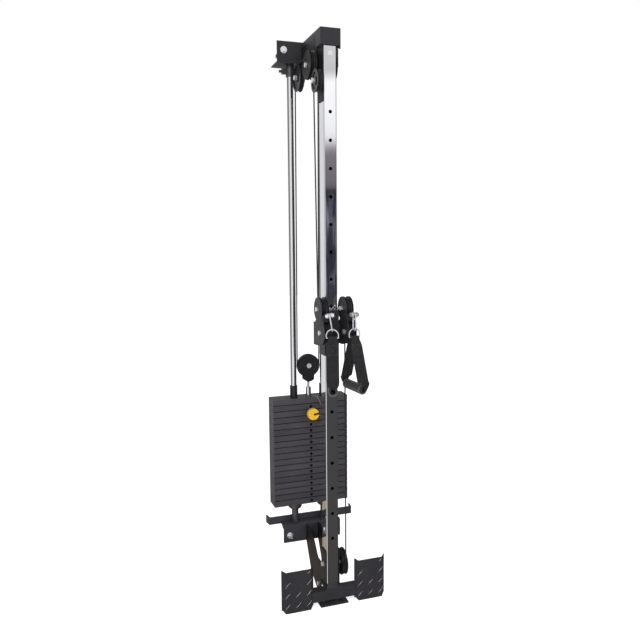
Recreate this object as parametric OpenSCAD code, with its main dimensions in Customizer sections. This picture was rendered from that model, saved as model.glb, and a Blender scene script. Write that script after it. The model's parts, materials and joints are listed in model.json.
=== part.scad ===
// Wall pulley weight stack. Millimetres, X along the wall, Y towards the wall, Z up, floor at Z 0.
// The column's front face lies at local Y 0, and place() shifts everything into the row frame.

/* [Node] */
// Node to draw, or all

/* [Column] */
// Column tube width across the front
col_w = 48; // [40:1:70]
// Column tube depth
col_d = 54; // [45:1:80]
// Column tube wall
col_wall = 3; // [2:0.5:5]
// Outer corner radius of the column tube
col_r = 3; // [1:0.5:6]
// Height of the column's foot flange above the floor
col_foot_z = 68; // [50:1:90]
// Pitch of the locking holes
hole_pitch = 100; // [60:5:140]
// Height of the lowest locking hole
hole_low_z = 259; // [220:1:300]
// Number of locking holes
hole_count = 17; // [8:1:20]
// Locking hole radius
hole_r = 6.5; // [4:0.25:9]

/* [Base] */
// Foot plate face width
foot_w = 99; // [70:1:140]
// Foot plate height
foot_h = 164; // [120:1:220]
// Inner edge of each foot plate from the centre line
foot_in = 98; // [80:1:130]
// Foot plate sheet thickness
foot_t = 3; // [2:0.5:5]
// Width of the bent foot plate flanges
foot_flange = 20; // [12:1:30]
// Cross bar height and depth
bar_s = 40; // [30:1:50]
// Cross bar underside above the floor
bar_z = 20; // [10:1:40]

/* [Wall brackets] */
// Front face of the bracket legs, behind the column front
leg_y = 251; // [230:1:280]
// Depth from the column front to the wall
wall_y = 341; // [335:1:400]
// Bracket half width
leg_x = 125; // [110:1:150]
// Bracket plate thickness
leg_t = 5; // [4:0.5:8]
// Lower bracket leg bottom
low_z0 = 147; // [130:1:150]
// Lower bracket leg top
low_z1 = 220; // [200:1:240]
// Upper bracket leg bottom
up_z0 = 2082; // [2070:1:2090]
// Upper bracket leg top
up_z1 = 2162; // [2150:1:2180]
// Wall bolt hole radius
bolt_hole_r = 6.5; // [5:0.25:8]
// Wall of the spacer tubes behind the brackets
tube_wall = 1.5; // [1:0.25:4]
// Rear edge of the lower bracket's flange, which carries the spacer bar
low_back = 305; // [300:1:320]
// Underside of the spacer bar
span_z = 211; // [200:1:230]
// Height of the spacer bar
span_h = 32; // [20:1:50]
// Thickness of the spacer bar
span_t = 5; // [3:0.5:8]
// Wall bolts from the centre line
bolt_x = 99; // [85:1:110]
// Length of the wall bolts beyond the wall face
stud_l = 20; // [10:1:80]

/* [Weight stack] */
// Plate half width
plate_x = 160.7; // [140:0.1:180]
// Plate depth
plate_d = 75; // [60:1:90]
// Front face of the stack behind the column front
plate_y = 256; // [252:1:262]
// Number of plates with the top plate
plate_n = 18; // [6:1:22]
// Plate pitch
plate_p = 25.2; // [20:0.1:32]
// Gap between plates
plate_gap = 0.8; // [0.4:0.1:2]
// Underside of the lowest plate
plate_z = 303; // [280:1:330]
// Height of the groove along each plate's front edge
groove_h = 3; // [1:0.5:6]
// Depth of the groove along each plate's front edge
groove_d = 3.5; // [1:0.5:8]
// Number of plates picked by the pin, with the top plate
picked = 3; // [2:1:10]

/* [Guide rods] */
// Guide rod radius
rod_r = 12.5; // [9:0.25:16]
// Guide rods from the centre line
rod_x = 63.6; // [50:0.1:90]
// Selector rod radius
sel_r = 10; // [8:0.25:12]

/* [Pulleys] */
// Cable radius
cab_r = 2.5; // [2:0.1:3.5]
// Radius of the cable's centre line on the large pulleys
pul_c = 47; // [40:0.5:52]
// Radius of the cable's centre line on the carriage pulleys
car_c = 40; // [35:0.5:41]
// Radius of the cable's centre line on the guide pulley
gui_c = 37; // [30:0.5:40]
// Pulleys' middle plane from the centre line
pul_x = 47; // [44:0.5:50]
// Pulley width
pul_w = 18; // [14:0.5:20]
// Axle bolt radius
axle_r = 5; // [4:0.25:6]
// Running clearance of pulleys and slides
run = 0.06; // [0.02:0.01:0.1]

/* [Carriage] */
// Carriage sleeve bottom
car_z0 = 975; // [970:1:1000]
// Carriage sleeve top
car_z1 = 1144; // [1130:1:1160]
// Sleeve wall
car_wall = 3; // [2:0.5:4]

/* [Handles] */
// Webbing width
web_w = 45; // [35:1:55]
// Webbing thickness
web_t = 2.6; // [1.6:0.1:4]
// Grip radius
grip_r = 18; // [14:0.5:20]
// Grip length
grip_l = 124; // [110:1:135]
// Turn of the left handle about the vertical
turn_l = -19; // [-40:1:40]
// Turn of the right handle about the vertical
turn_r = 6; // [-40:1:40]

/* [Hidden] */
$fn = 48;
row_y = -86.822;

// pulley centres, [Y, Z]
p_rear = [226, 2022];
p_front = [80, 2034];
right_gap = 1.69;
p_front_r = [p_rear[0] - sqrt(pow(2 * pul_c + 9 + right_gap, 2) - pow(p_front[1] - p_rear[1], 2)),
  p_front[1]];
p_guide = [8, 1964];
p_bot = [27.5, 148];
c_up = [-25, 1153];
c_low = [-55, 1070];
mov_y = 290;
mov_z = 887;
rod_y = mov_y;
big_r = pul_c + 4.5;
mov_r = pul_c + 0.4;
car_r = car_c + 4;
gui_r = gui_c + 4;
col_top = 2146;
head_h = 59;
head_z = col_top - head_h;
beam_x = 25;
beam_z1 = 2158;
span_l = 173.5;
span_r = 197;
stack_top = plate_z + plate_n * plate_p;
pin_z = stack_top - (picked - 0.5) * plate_p;
low_bolt_z = (low_z0 + low_z1) / 2 - 5;
up_bolt_z = (up_z0 + up_z1) / 2 + 7;
rod_z0 = low_z1;
rod_z1 = up_z0;

// ball and shackle: the ball rests on both carriage pulleys
ball_r = 15;
car_mid = (c_up + c_low) / 2;
car_gap = norm(c_up - c_low);
car_gap_x = 12;
exit_u = [c_low[1] - c_up[1], c_up[0] - c_low[0]] / car_gap;
ball_c = car_mid + exit_u * sqrt(pow(car_c + 4 + ball_r + 0.4, 2) - pow(car_gap / 2, 2));
pin_c = [-113, 1137.5];
hook_h = 62;
hook_r = 10;
hook_w = 3;
hook_z = 3.5 + hook_w + 0.3;
ring_w = 2.2;
ring_x = 21.5;
ring_c = 3;
ring_bar = 9;
fold_x = 17.2;
nose = 4;
drop = 180.5;
tilt_l = 9.5;

// travel of the spring plunger, drawn pulled out
pop_out = 9;

module place() { translate([0, row_y, 0]) children(); }

module box(a, b) {
  translate(a) cube([b[0] - a[0], b[1] - a[1], b[2] - a[2]]);
}

// cylinder along X from x0 to x1 at [y, z]
module bar_x(c, x0, x1, r) {
  translate([x0, c[0], c[1]]) rotate([0, 90, 0]) cylinder(h = x1 - x0, r = r);
}

// cylinder along Y from y0 to y1 at [x, z]
module bar_y(c, y0, y1, r) {
  translate([c[0], y0, c[1]]) rotate([-90, 0, 0]) cylinder(h = y1 - y0, r = r);
}

// cylinder along Z from z0 to z1 at [x, y]
module bar_z(c, z0, z1, r) {
  translate([c[0], c[1], z0]) cylinder(h = z1 - z0, r = r);
}

// hexagon prism along X
module hex_x(c, x0, x1, af) {
  translate([x0, c[0], c[1]]) rotate([0, 90, 0]) cylinder(h = x1 - x0, r = af / sqrt(3), $fn = 6);
}

// hexagon prism along Y
module hex_y(c, y0, y1, af) {
  translate([c[0], y0, c[1]]) rotate([-90, 0, 0]) cylinder(h = y1 - y0, r = af / sqrt(3), $fn = 6);
}

// flat sheet in the YZ plane between x0 and x1, drawn with 2-D points [y, z]
module sheet_x(x0, x1) {
  translate([x0, 0, 0]) rotate([90, 0, 90]) linear_extrude(height = x1 - x0) children();
}

// pulley wheel about Z with a round groove for the cable
module wheel(rc, ro, w, bore, hub) {
  h = w / 2;
  g = rc - cab_r - 0.3;
  q = min(rc + 1, ro - 0.6);
  rotate_extrude($fn = 72) polygon([
    [bore, -h], [hub, -h], [hub, -h + 3], [ro - 11, -h + 3], [ro - 11, -h], [ro, -h],
    [ro, -h + 2], [q, -3.4], [rc - 1, -3], [g + 0.5, -1.9], [g, 0],
    [g + 0.5, 1.9], [rc - 1, 3], [q, 3.4], [ro, h - 2],
    [ro, h], [ro - 11, h], [ro - 11, h - 3], [hub, h - 3], [hub, h], [bore, h]
  ]);
}

// pulley turning about X, in the plane x
module pulley_x(c, x, rc, ro) {
  translate([x, c[0], c[1]]) rotate([0, 90, 0]) wheel(rc, ro, pul_w, axle_r + run, 14);
}

// points of an arc in the YZ plane at x, from angle a to angle b, measured from +Y towards +Z
function arc(x, c, r, a, b, n) = [for (i = [0:n])
  let (t = a + (b - a) * i / n, q = i == 0 || i == n ? r : r / cos((b - a) / n / 2))
  [x, c[0] + q * cos(t), c[1] + q * sin(t)]];

function unit(v) = v / norm(v);
function tang(p, i) = unit(i == 0 ? p[1] - p[0]
  : i == len(p) - 1 ? p[i] - p[i - 1] : unit(p[i + 1] - p[i]) + unit(p[i] - p[i - 1]));

// round cord through hand-picked points, all rings square to the route
module cord(p, r, side = [1, 0, 0], n = 8, t0 = undef, t1 = undef) {
  m = len(p);
  pts = [for (i = [0:m - 1])
    let (t = i == 0 && !is_undef(t0) ? t0 : i == m - 1 && !is_undef(t1) ? t1 : tang(p, i),
      u = unit(side - (side * t) * t), v = cross(t, u))
    for (k = [0:n - 1]) p[i] + r * (cos(360 * k / n) * u + sin(360 * k / n) * v)];
  polyhedron(points = pts, faces = concat(
    [[for (k = [0:n - 1]) n - 1 - k]],
    [[for (k = [0:n - 1]) (m - 1) * n + k]],
    [for (i = [0:m - 2]) for (k = [0:n - 1])
      [i * n + k, i * n + (k + 1) % n, (i + 1) * n + (k + 1) % n, (i + 1) * n + k]]));
}

// column with the row of locking holes in its front wall
module column() color([0.75, 0.75, 0.77]) place() difference() {
  translate([0, col_d / 2, col_foot_z]) linear_extrude(height = col_top - 4 - col_foot_z) union() {
    square([col_w - 2 * col_r, col_d], center = true);
    square([col_w, col_d - 2 * col_r], center = true);
    for (x = [-1, 1]) for (y = [-1, 1])
      translate([x * (col_w / 2 - col_r), y * (col_d / 2 - col_r)]) circle(r = col_r, $fn = 32);
  }
  box([-col_w / 2 + col_wall, col_wall, col_foot_z - 1],
      [col_w / 2 - col_wall, col_d - col_wall, col_top]);
  for (i = [0:hole_count - 1])
    bar_y([0, hole_low_z + i * hole_pitch], -1, col_wall + 1, hole_r);
  bar_x(p_guide, -col_w / 2 - 1, 0, axle_r + 0.2);
  bar_x(p_bot, -col_w / 2 - 1, col_w / 2 + 1, axle_r + 0.2);
}

// flange under the column, square cross bar between the foot plates, floor plate on two feet
module base_beam() color([0.16, 0.16, 0.17]) place() union() {
  box([-33, -19, bar_z + bar_s], [33, 62, col_foot_z]);
  difference() {
    box([-foot_in, -19, bar_z], [foot_in, -19 + bar_s, bar_z + bar_s]);
    box([-foot_in - 1, -16, bar_z + 3], [foot_in + 1, bar_s - 22, bar_z + bar_s - 3]);
  }
  for (m = [0, 1]) mirror([m, 0, 0]) {
    box([foot_in + 8, -24, bar_z + 4], [foot_in + 34, -18, bar_z + 36]);
    box([foot_in - 1, -19, bar_z], [foot_in + 36, 21, bar_z + bar_s]);
  }
  box([-58, -28, 0], [55, 30, 6]);
  for (x = [-40, 36]) {
    bar_z([x, 1], 5, bar_z, 8);
    translate([x, -22.5, 6]) cylinder(h = 4, r = 4.2, $fn = 6);
  }
}

// one pressed foot plate with bent edges and raised bars
module foot_plate() {
  w = foot_w;
  f = foot_flange * sqrt(0.5);
  k = foot_t * sqrt(0.5);
  t = foot_t;
  difference() {
    translate([0, -27, 0]) linear_extrude(height = foot_h + 8) polygon([
      [-f, f], [0, 0], [w, 0], [w + f, f], [w + f - k, f + k], [w - t * 0.41, t], [t * 0.41, t],
      [k - f, f + k]]);
    translate([0, 40, 0]) rotate([90, 0, 0]) linear_extrude(height = 100) polygon([
      [-f - 2, foot_h + 7], [0, foot_h], [w, foot_h], [w + f + 2, foot_h + 7], [w + f + 2, foot_h + 40],
      [-f - 2, foot_h + 40]]);
    for (e = [0, 1]) translate([e * w, 0, 0]) mirror([e, 0, 0])
      translate([-f - 8, -40, 0]) rotate([0, 45, 0]) cube([16, 60, 16], center = false);
  }
  for (i = [0:2]) for (j = [0:2]) if (!(i == 1 && j == 2))
    translate([w / 2 + (i - 1) * 43, -27, 28 + j * 43]) rotate([0, 45, 0])
      translate([-1.6, -1.2, -10]) cube([3.2, 1.4, 20]);
  translate([w / 2 + 41, -27, 153]) rotate([0, 45, 0]) translate([-1.6, -1.2, -9]) cube([3.2, 1.4, 16]);
}

module foot_plates() color([0.2, 0.2, 0.21]) place() difference() {
  union() {
    translate([foot_in, 0, 0]) foot_plate();
    translate([-foot_in - foot_w, 0, 0]) foot_plate();
  }
  box([-foot_in - 36, -19, bar_z], [foot_in + 36, 40, bar_z + bar_s]);
}

// bent plates from the lower bracket to the column foot, with a cross web at the notch
module side_plates() color([0.17, 0.17, 0.18]) place() {
  for (x = [[-28.1, -24.1], [24.1, 28.1]]) difference() {
    sheet_x(x[0], x[1]) polygon([
      [leg_y, low_z0], [leg_y, low_z1], [225, 221], [152, 193], [109, 146], [98, 139], [58, 139],
      [54, 146], [54, 205], [0, 205], [0, col_foot_z], [62, col_foot_z], [62, 0], [102, 0], [190, 50],
      [244, 140]]);
    bar_x(p_bot, x[0] - 1, x[1] + 1, axle_r + 0.2);
    bar_x([80, 41], x[0] - 1, x[1] + 1, 5.2);
  }
  box([-24.1, 64, 96], [24.1, 100, 100]);
}

// angle bracket on four long bolts, with spacer tubes to the wall
module bracket(z0, z1, zf, zb, back) {
  difference() {
    union() {
      box([-leg_x, leg_y, z0], [leg_x, leg_y + leg_t, z1]);
      box([-leg_x, leg_y, zf], [leg_x, back, zf + leg_t]);
      for (s = [-1, 1]) bar_y([bolt_x * s, zb], leg_y + 1, wall_y, bolt_hole_r + tube_wall);
    }
    for (s = [-1, 1]) bar_y([bolt_x * s, zb], leg_y - 1, wall_y + 1, bolt_hole_r);
  }
}

module lower_bracket() color([0.18, 0.18, 0.19]) place()
  bracket(low_z0, low_z1, low_z1 - leg_t, low_bolt_z, low_back);
module upper_bracket() color([0.2, 0.2, 0.21]) place() bracket(up_z0, up_z1, up_z0, up_bolt_z, wall_y);

// bolts through the brackets with washers, and the side plate bolts
module frame_bolts() color([0.85, 0.85, 0.86]) place() {
  for (s = [-1, 1]) {
    zl = low_bolt_z;
    bar_y([bolt_x * s, zl], leg_y - 3, leg_y, 13);
    hex_y([bolt_x * s, zl], leg_y - 11, leg_y - 3, 17);
    bar_y([bolt_x * s, zl], leg_y - 26, leg_y - 11, 5);
    bar_y([bolt_x * s, zl], leg_y, wall_y + stud_l, 5);
    zu = up_bolt_z;
    bar_y([bolt_x * s, zu], leg_y - 3, leg_y, 13);
    hex_y([bolt_x * s, zu], leg_y - 10, leg_y - 3, 17);
    bar_y([bolt_x * s, zu], leg_y, wall_y + stud_l, 5);
  }
  bar_x([80, 41], -28.1, 28.1, 5);
  for (s = [-1, 1]) {
    hex_x([80, 41], s < 0 ? -36 : 28.1, s < 0 ? -28.1 : 36, 16);
  }
  bar_y([0, head_z - 28], -1.5, 0, 9);
  hex_y([0, head_z - 28], -6, -1.5, 12);
}

// cap over the column's top, bent from sheet
module head_box() color([0.17, 0.17, 0.18]) place() difference() {
  union() {
    box([-38, -6, head_z], [38, 52, col_top]);
    sheet_x(34, 38) polygon([[-6, head_z - 12], [-6, head_z + 1], [20, head_z + 1]]);
  }
  box([-34, -2, head_z - 20], [34, 60, col_top - 4]);
}

// square tube from the column's top back to the upper bracket
module top_beam() color([0.2, 0.2, 0.21]) place() difference() {
  box([-beam_x, col_d, beam_z1 - 56], [beam_x, leg_y, beam_z1]);
  box([-beam_x + 3, col_d - 1, beam_z1 - 53], [beam_x - 3, leg_y + 1, beam_z1 - 3]);
}

// straps and cheek that carry the pulley axles
module pulley_hangers() color([0.3, 0.3, 0.31]) place() {
  zt = beam_z1 - 20;
  for (x = [[-beam_x - 4, -beam_x], [beam_x, beam_x + 4]]) difference() {
    union() {
      sheet_x(x[0], x[1]) polygon([
        [p_rear[0] - 23, zt], [p_rear[0] + 21, zt], [p_rear[0] + 21, p_rear[1] - 14],
        [p_rear[0] - 10, p_rear[1] - 14], [p_rear[0] - 10, p_rear[1] + 8], [p_rear[0] - 23, p_rear[1] + 28]]);
      c = x[0] < 0 ? p_front : p_front_r;
      sheet_x(x[0], x[1]) polygon([
        [c[0] - 18, zt], [c[0] + 18, zt], [c[0] + 18, c[1] - 18], [c[0] - 18, c[1] - 18]]);
    }
    for (c = [p_rear, p_front, p_front_r]) bar_x(c, x[0] - 1, x[1] + 1, axle_r);
  }
  difference() {
    sheet_x(-62, -59) translate([p_front[0], p_front[1]]) circle(r = 50, $fn = 72);
    bar_x(p_front, -63, -58, axle_r);
  }
  difference() {
    box([-col_w / 2 - 4, 0, p_guide[1] - 67], [-col_w / 2, col_d, head_z]);
    bar_x(p_guide, -29, -23, axle_r);
  }
}

// one pulley axle: shaft from the strap outwards with head, and a nut behind
module axle_out(c, x0, x1, s, nut) {
  a = min(x0 * s, x1 * s);
  b = max(x0 * s, x1 * s);
  bar_x(c, a, b, axle_r);
  h = x1 * s;
  hex_x(c, s < 0 ? h - 7 : h, s < 0 ? h : h + 7, 17);
  if (nut) hex_x(c, s < 0 ? x0 * s : x0 * s - 7, s < 0 ? x0 * s + 7 : x0 * s, 15);
}

module pulley_axles() color([0.85, 0.85, 0.86]) place() {
  w = pul_x + pul_w / 2;
  for (k = [[p_rear, -1], [p_rear, 1], [p_front_r, 1]]) {
    axle_out(k[0], beam_x, w + 3, k[1], false);
    spacer(k[0], beam_x + 4, pul_x - pul_w / 2 - 0.3, k[1]);
    spacer(k[0], w + 0.3, w + 3, k[1]);
  }
  axle_out(p_front, beam_x, 62, -1, false);
  spacer(p_front, beam_x + 4, pul_x - pul_w / 2 - 0.3, -1);
  spacer(p_front, w + 0.3, 59, -1);
  axle_out(p_guide, 24, w + 3, -1, false);
  spacer(p_guide, 28, pul_x - pul_w / 2 - 0.3, -1);
  spacer(p_guide, w + 0.3, w + 3, -1);
  bar_x(p_bot, -28.1, w + 3, axle_r);
  hex_x(p_bot, -36, -28.1, 17);
  hex_x(p_bot, w + 3, w + 10, 17);
  spacer(p_bot, 28.1, pul_x - pul_w / 2 - 0.3, 1);
  spacer(p_bot, w + 0.3, w + 3, 1);
}

module spacer(c, x0, x1, s) {
  a = min(x0 * s, x1 * s);
  bar_x(c, a, a + x1 - x0, 9);
}

module guide_rods() color([0.8, 0.8, 0.82]) place()
  for (s = [-1, 1]) bar_z([rod_x * s, rod_y], rod_z0, rod_z1, rod_r);

// base sleeves, black tubes under the stack and set collars at the top
module rod_spacers() color([0.08, 0.08, 0.08]) place() for (s = [-1, 1]) {
  difference() {
    union() {
      bar_z([rod_x * s, rod_y], rod_z0, rod_z0 + 17, rod_r + 2.1);
      bar_z([rod_x * s, rod_y], rod_z0 + 17, plate_z - 24, rod_r + 1.6);
    }
    bar_z([rod_x * s, rod_y], rod_z0 - 1, plate_z, rod_r);
  }
  difference() {
    union() {
      bar_z([rod_x * s, rod_y], rod_z1 - 44, rod_z1, rod_r + 3.5);
      box([rod_x * s - 34, rod_y - 7, rod_z1 - 34], [rod_x * s, rod_y + 7, rod_z1 - 14]);
      bar_x([rod_y, rod_z1 - 24], rod_x * s - 44, rod_x * s - 34, 5);
    }
    bar_z([rod_x * s, rod_y], rod_z1 - 60, rod_z1 + 1, rod_r);
  }
}

module rubber_bumpers() color([0.05, 0.05, 0.05]) place() for (s = [-1, 1])
  translate([rod_x * s, rod_y, plate_z - 24]) rotate_extrude() polygon([
    [rod_r, 0], [21, 0], [27, 5], [29, 12], [29, 23], [26, 24], [rod_r, 24]]);

// flat bar behind the lower bracket's flange, its bent ends against the wall
module standoff_bar() color([0.28, 0.28, 0.29]) place()
  translate([0, 0, span_z]) linear_extrude(height = span_h) polygon([
    [-span_l, low_back], [span_r, low_back], [span_r + 5, wall_y], [span_r + 5 - span_t, wall_y],
    [span_r - span_t, low_back + span_t], [span_t - span_l, low_back + span_t],
    [span_t - span_l - 5, wall_y],
    [-span_l - 5, wall_y]]);

// plate i counted from the top, with rod holes, stem hole and selector hole
module plate(i) difference() {
  z1 = stack_top - i * plate_p;
  z0 = z1 - plate_p;
  union() {
    box([-plate_x, plate_y, z0 + plate_gap], [plate_x, plate_y + plate_d, z1]);
    box([5 - plate_x, plate_y + 5, z0], [plate_x - 5, plate_y + plate_d - 5, z1 - 1]);
  }
  for (s = [-1, 1]) bar_z([rod_x * s, rod_y], z0 - 1, z1 + 1, i == 0 ? 18 : rod_r + 2);
  bar_z([0, rod_y], z0 - 1, z1 + 1, i == 0 ? sel_r : sel_r + 1);
  if (i > 0) bar_y([0, z1 - plate_p / 2], plate_y - 1, rod_y, 6);
  if (i < plate_n - 1)
    box([-plate_x - 1, plate_y - 1, z0 - 1], [plate_x + 1, plate_y + groove_d, z0 + groove_h]);
}

module stack_plates() color([0.14, 0.14, 0.15]) place()
  for (i = [picked:plate_n - 1]) plate(i);
module top_plate() color([0.14, 0.14, 0.15]) place() plate(0);
module plate_02() color([0.14, 0.14, 0.15]) place() plate(1);
module plate_03() color([0.14, 0.14, 0.15]) place() plate(2);

// sliding bushings in the top plate
module rod_bushings() color([0.05, 0.05, 0.05]) place() for (s = [-1, 1]) difference() {
  union() {
    bar_z([rod_x * s, rod_y], stack_top - plate_p, stack_top, 18);
    bar_z([rod_x * s, rod_y], stack_top, stack_top + 50, 15.5);
  }
  bar_z([rod_x * s, rod_y], stack_top - 30, stack_top + 51, rod_r + run);
}

// selector rod with a hole for each plate, and the stem above the top plate
module selector_rod() color([0.75, 0.75, 0.77]) place() difference() {
  union() {
    bar_z([0, rod_y], plate_z + 6, stack_top, sel_r);
    bar_z([0, rod_y], stack_top, stack_top + 39, 11);
    bar_z([0, rod_y], stack_top + 39, mov_z - 52, 5);
  }
  for (i = [1:plate_n - 1])
    bar_y([0, stack_top - (i + 0.5) * plate_p], rod_y - 15, rod_y + 15, 5.2);
}

// two cheeks and a tapered block that hold the moving pulley
module pulley_housing() color([0.1, 0.1, 0.11]) place() {
  difference() {
    union() {
      for (y = [-14, 11])
        translate([0, rod_y + y, mov_z]) rotate([-90, 0, 0]) cylinder(h = 3, r = pul_c - 2, $fn = 72);
      translate([0, rod_y + 14, 0]) rotate([90, 0, 0]) linear_extrude(height = 28) polygon([
        [-22, mov_z - 52], [22, mov_z - 52], [22, mov_z - 58], [12, mov_z - 64], [5, mov_z - 67],
        [-5, mov_z - 67], [-12, mov_z - 64], [-22, mov_z - 58]]);
      for (y = [-14, 11]) box([-22, rod_y + y, mov_z - 54], [22, rod_y + y + 3, mov_z - 30]);
    }
    bar_y([0, mov_z], rod_y - 20, rod_y + 20, axle_r);
    bar_z([0, rod_y], mov_z - 70, mov_z - 47, 5);
  }
  bar_y([0, mov_z], rod_y - 14, rod_y + 14, axle_r);
  for (y = [-11, 9.3]) bar_y([0, mov_z], rod_y + y, rod_y + y + 1.7, 9);
  hex_y([0, mov_z], rod_y - 20, rod_y - 14, 17);
  hex_y([0, mov_z], rod_y + 14, rod_y + 20, 17);
}

module moving_pulley() color([0.06, 0.06, 0.06]) place()
  translate([0, rod_y, mov_z]) rotate([90, 0, 0]) wheel(pul_c, mov_r, pul_w, axle_r + run, 14);

module pulley_rear_left() color([0.07, 0.07, 0.07]) place() pulley_x(p_rear, -pul_x, pul_c, big_r);
module pulley_front_left() color([0.07, 0.07, 0.07]) place() pulley_x(p_front, -pul_x, pul_c, big_r);
module pulley_guide() color([0.07, 0.07, 0.07]) place() pulley_x(p_guide, -pul_x, gui_c, gui_r);
module pulley_rear_right() color([0.07, 0.07, 0.07]) place() pulley_x(p_rear, pul_x, pul_c, big_r);
module pulley_front_right() color([0.07, 0.07, 0.07]) place() pulley_x(p_front_r, pul_x, pul_c, big_r);
module pulley_bottom() color([0.07, 0.07, 0.07]) place() pulley_x(p_bot, pul_x, pul_c, big_r);
module pulley_upper_left() color([0.07, 0.07, 0.07]) place() pulley_x(c_up, -pul_x, car_c, car_r);
module pulley_lower_left() color([0.07, 0.07, 0.07]) place() pulley_x(c_low, -pul_x, car_c, car_r);
module pulley_upper_right() color([0.07, 0.07, 0.07]) place() pulley_x(c_up, pul_x, car_c, car_r);
module pulley_lower_right() color([0.07, 0.07, 0.07]) place() pulley_x(c_low, pul_x, car_c, car_r);

// angles of the outer tangent between two pulleys of one size, and of a crossing tangent
function dirang(a, b) = atan2(b[1] - a[1], b[0] - a[0]);
front_a = dirang(p_front, p_rear) + 90;
front_b = dirang(p_front_r, p_rear) + 90;
cross_d = norm(p_guide - p_front);
cross_a = dirang(p_front, p_guide) - acos((pul_c + gui_c) / cross_d);

up = [0, 0, 1];

// cable over the top pulleys: left side to the guide pulley, right side down to the bottom pulley
module cable_top() color([0.04, 0.04, 0.04]) place() {
  cord(concat(
    arc(-pul_x, p_rear, pul_c, 0, front_a, 7),
    arc(-pul_x, p_front, pul_c, front_a, cross_a + 360, 8),
    arc(-pul_x, p_guide, gui_c, cross_a + 180, 0, 1)), cab_r, t0 = up, t1 = -up);
  cord(concat(
    arc(pul_x, p_rear, pul_c, 0, front_b, 7),
    arc(pul_x, p_front_r, pul_c, front_b, 180, 8),
    arc(pul_x, p_bot, pul_c, 0, -180, 13)), cab_r, t0 = up, t1 = up);
}

// the two runs between the top pulleys and the moving pulley
module cable_lift_runs() color([0.04, 0.04, 0.04]) place() for (s = [-1, 1])
  cord([[s * pul_x, p_rear[0] + pul_c, p_rear[1]], [s * pul_x, mov_y, mov_z]], cab_r, t0 = -up, t1 = -up);

module cable_loop() color([0.04, 0.04, 0.04]) place()
  cord([for (q = arc(0, [0, 0], pul_c, 180, 360, 13)) [q[1], mov_y, mov_z + q[2]]], cab_r, [0, 1, 0],
    t0 = -up, t1 = up);

// cable from the guide pulley down to the carriage
module cable_down() color([0.04, 0.04, 0.04]) place()
  cord([[-pul_x, p_guide[0] + gui_c, p_guide[1]], [-pul_x, c_up[0] + car_c, c_up[1]]], cab_r,
    t0 = -up, t1 = -up);

// cable from the bottom pulley up to the carriage
module cable_up() color([0.04, 0.04, 0.04]) place()
  cord([[pul_x, p_bot[0] - pul_c, p_bot[1]], [pul_x, c_low[0] + car_c, c_low[1]]], cab_r,
    t0 = up, t1 = up);

// angles where the cable leaves the carriage pulleys towards the balls, and its free end there
up_t = dirang(c_up, ball_c) + 360 + acos(car_c / norm(ball_c - c_up));
low_t = dirang(c_low, ball_c) - acos(car_c / norm(ball_c - c_low));
function touch(c, t) = [c[0] + car_c * cos(t), c[1] + car_c * sin(t)];
function exit_end(x, c, t) =
  let (q = touch(c, t), e = ball_c + (ball_r + 0.4) * (q - ball_c) / norm(q - ball_c))
  [x, e[0], e[1]];

// the cable's turns on the carriage, out to the balls
module cable_exits() color([0.04, 0.04, 0.04]) place() {
  cord(concat(arc(-pul_x, c_up, car_c, 0, up_t - 360, 7), [exit_end(-pul_x, c_up, up_t)]), cab_r,
    t0 = -up);
  cord(concat(arc(pul_x, c_low, car_c, 0, low_t, 4), [exit_end(pul_x, c_low, low_t)]), cab_r,
    t0 = up);
}

// free cord from the top plate to a loop round the selector pin's collar
lanyard_pts = [[11, 281, 758.6], [14, 274, 760.4], [19, 265, 761], [24, 257, 760], [28.5, 253.2, 755],
  [34.5, 252.4, 743], [41.5, 252, 729], [48, 252, 714.5], [52, 252, 701], [51, 252, 689], [44, 252, 681],
  [34, 252, 678.5], [23, 252, 680.5], [13, 252, 682.8]];
module lanyard() color([0.1, 0.1, 0.1]) place()
  cord(concat(lanyard_pts, [for (i = [0:10]) let (t = -75 - 28 * i)
    [10.6 * cos(t), 252 + i * 0.05, pin_z + 10.6 * sin(t)]]), 1.2, [0, 1, 0.2]);

// selector pin with a round knob
module selector_pin() color([0.95, 0.75, 0.15]) place() union() {
  bar_y([0, pin_z], rod_y - 42, rod_y + 9, 4.6);
  bar_y([0, pin_z], 248, plate_y - 0.4, 9);
  translate([0, 216, pin_z]) rotate([-90, 0, 0]) rotate_extrude() polygon([
    [0, 0], [19, 0], [23, 3], [24, 7], [24, 20], [22, 25], [17, 29], [11, 33], [0, 33]]);
}

// carriage sleeve around the column with weld pads for the inner plates
module sleeve() color([0.3, 0.3, 0.31]) place() difference() {
  union() {
    box([-28, -4, car_z0], [28, col_d + 4, car_z1]);
    for (s = [-1, 1]) box([s < 0 ? -32 : 27, -3, 1025], [s < 0 ? -27 : 32, 22, 1095]);
    bar_y([0, 1059], -14, -3, 8);
  }
  box([-28 + car_wall, -4 + car_wall, car_z0 - 1], [28 - car_wall, col_d + 4 - car_wall, car_z1 + 1]);
  bar_y([0, 1059], -15, 2, 5);
}

// plastic liners between sleeve and column
module liners() color([0.05, 0.05, 0.05]) place() for (z = [car_z0, car_z1 - 30]) difference() {
  box([-25, -1, z], [25, col_d + 1, z + 30]);
  box([-col_w / 2 - run, -run, z - 1], [col_w / 2 + run, col_d + run, z + 31]);
}

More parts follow.
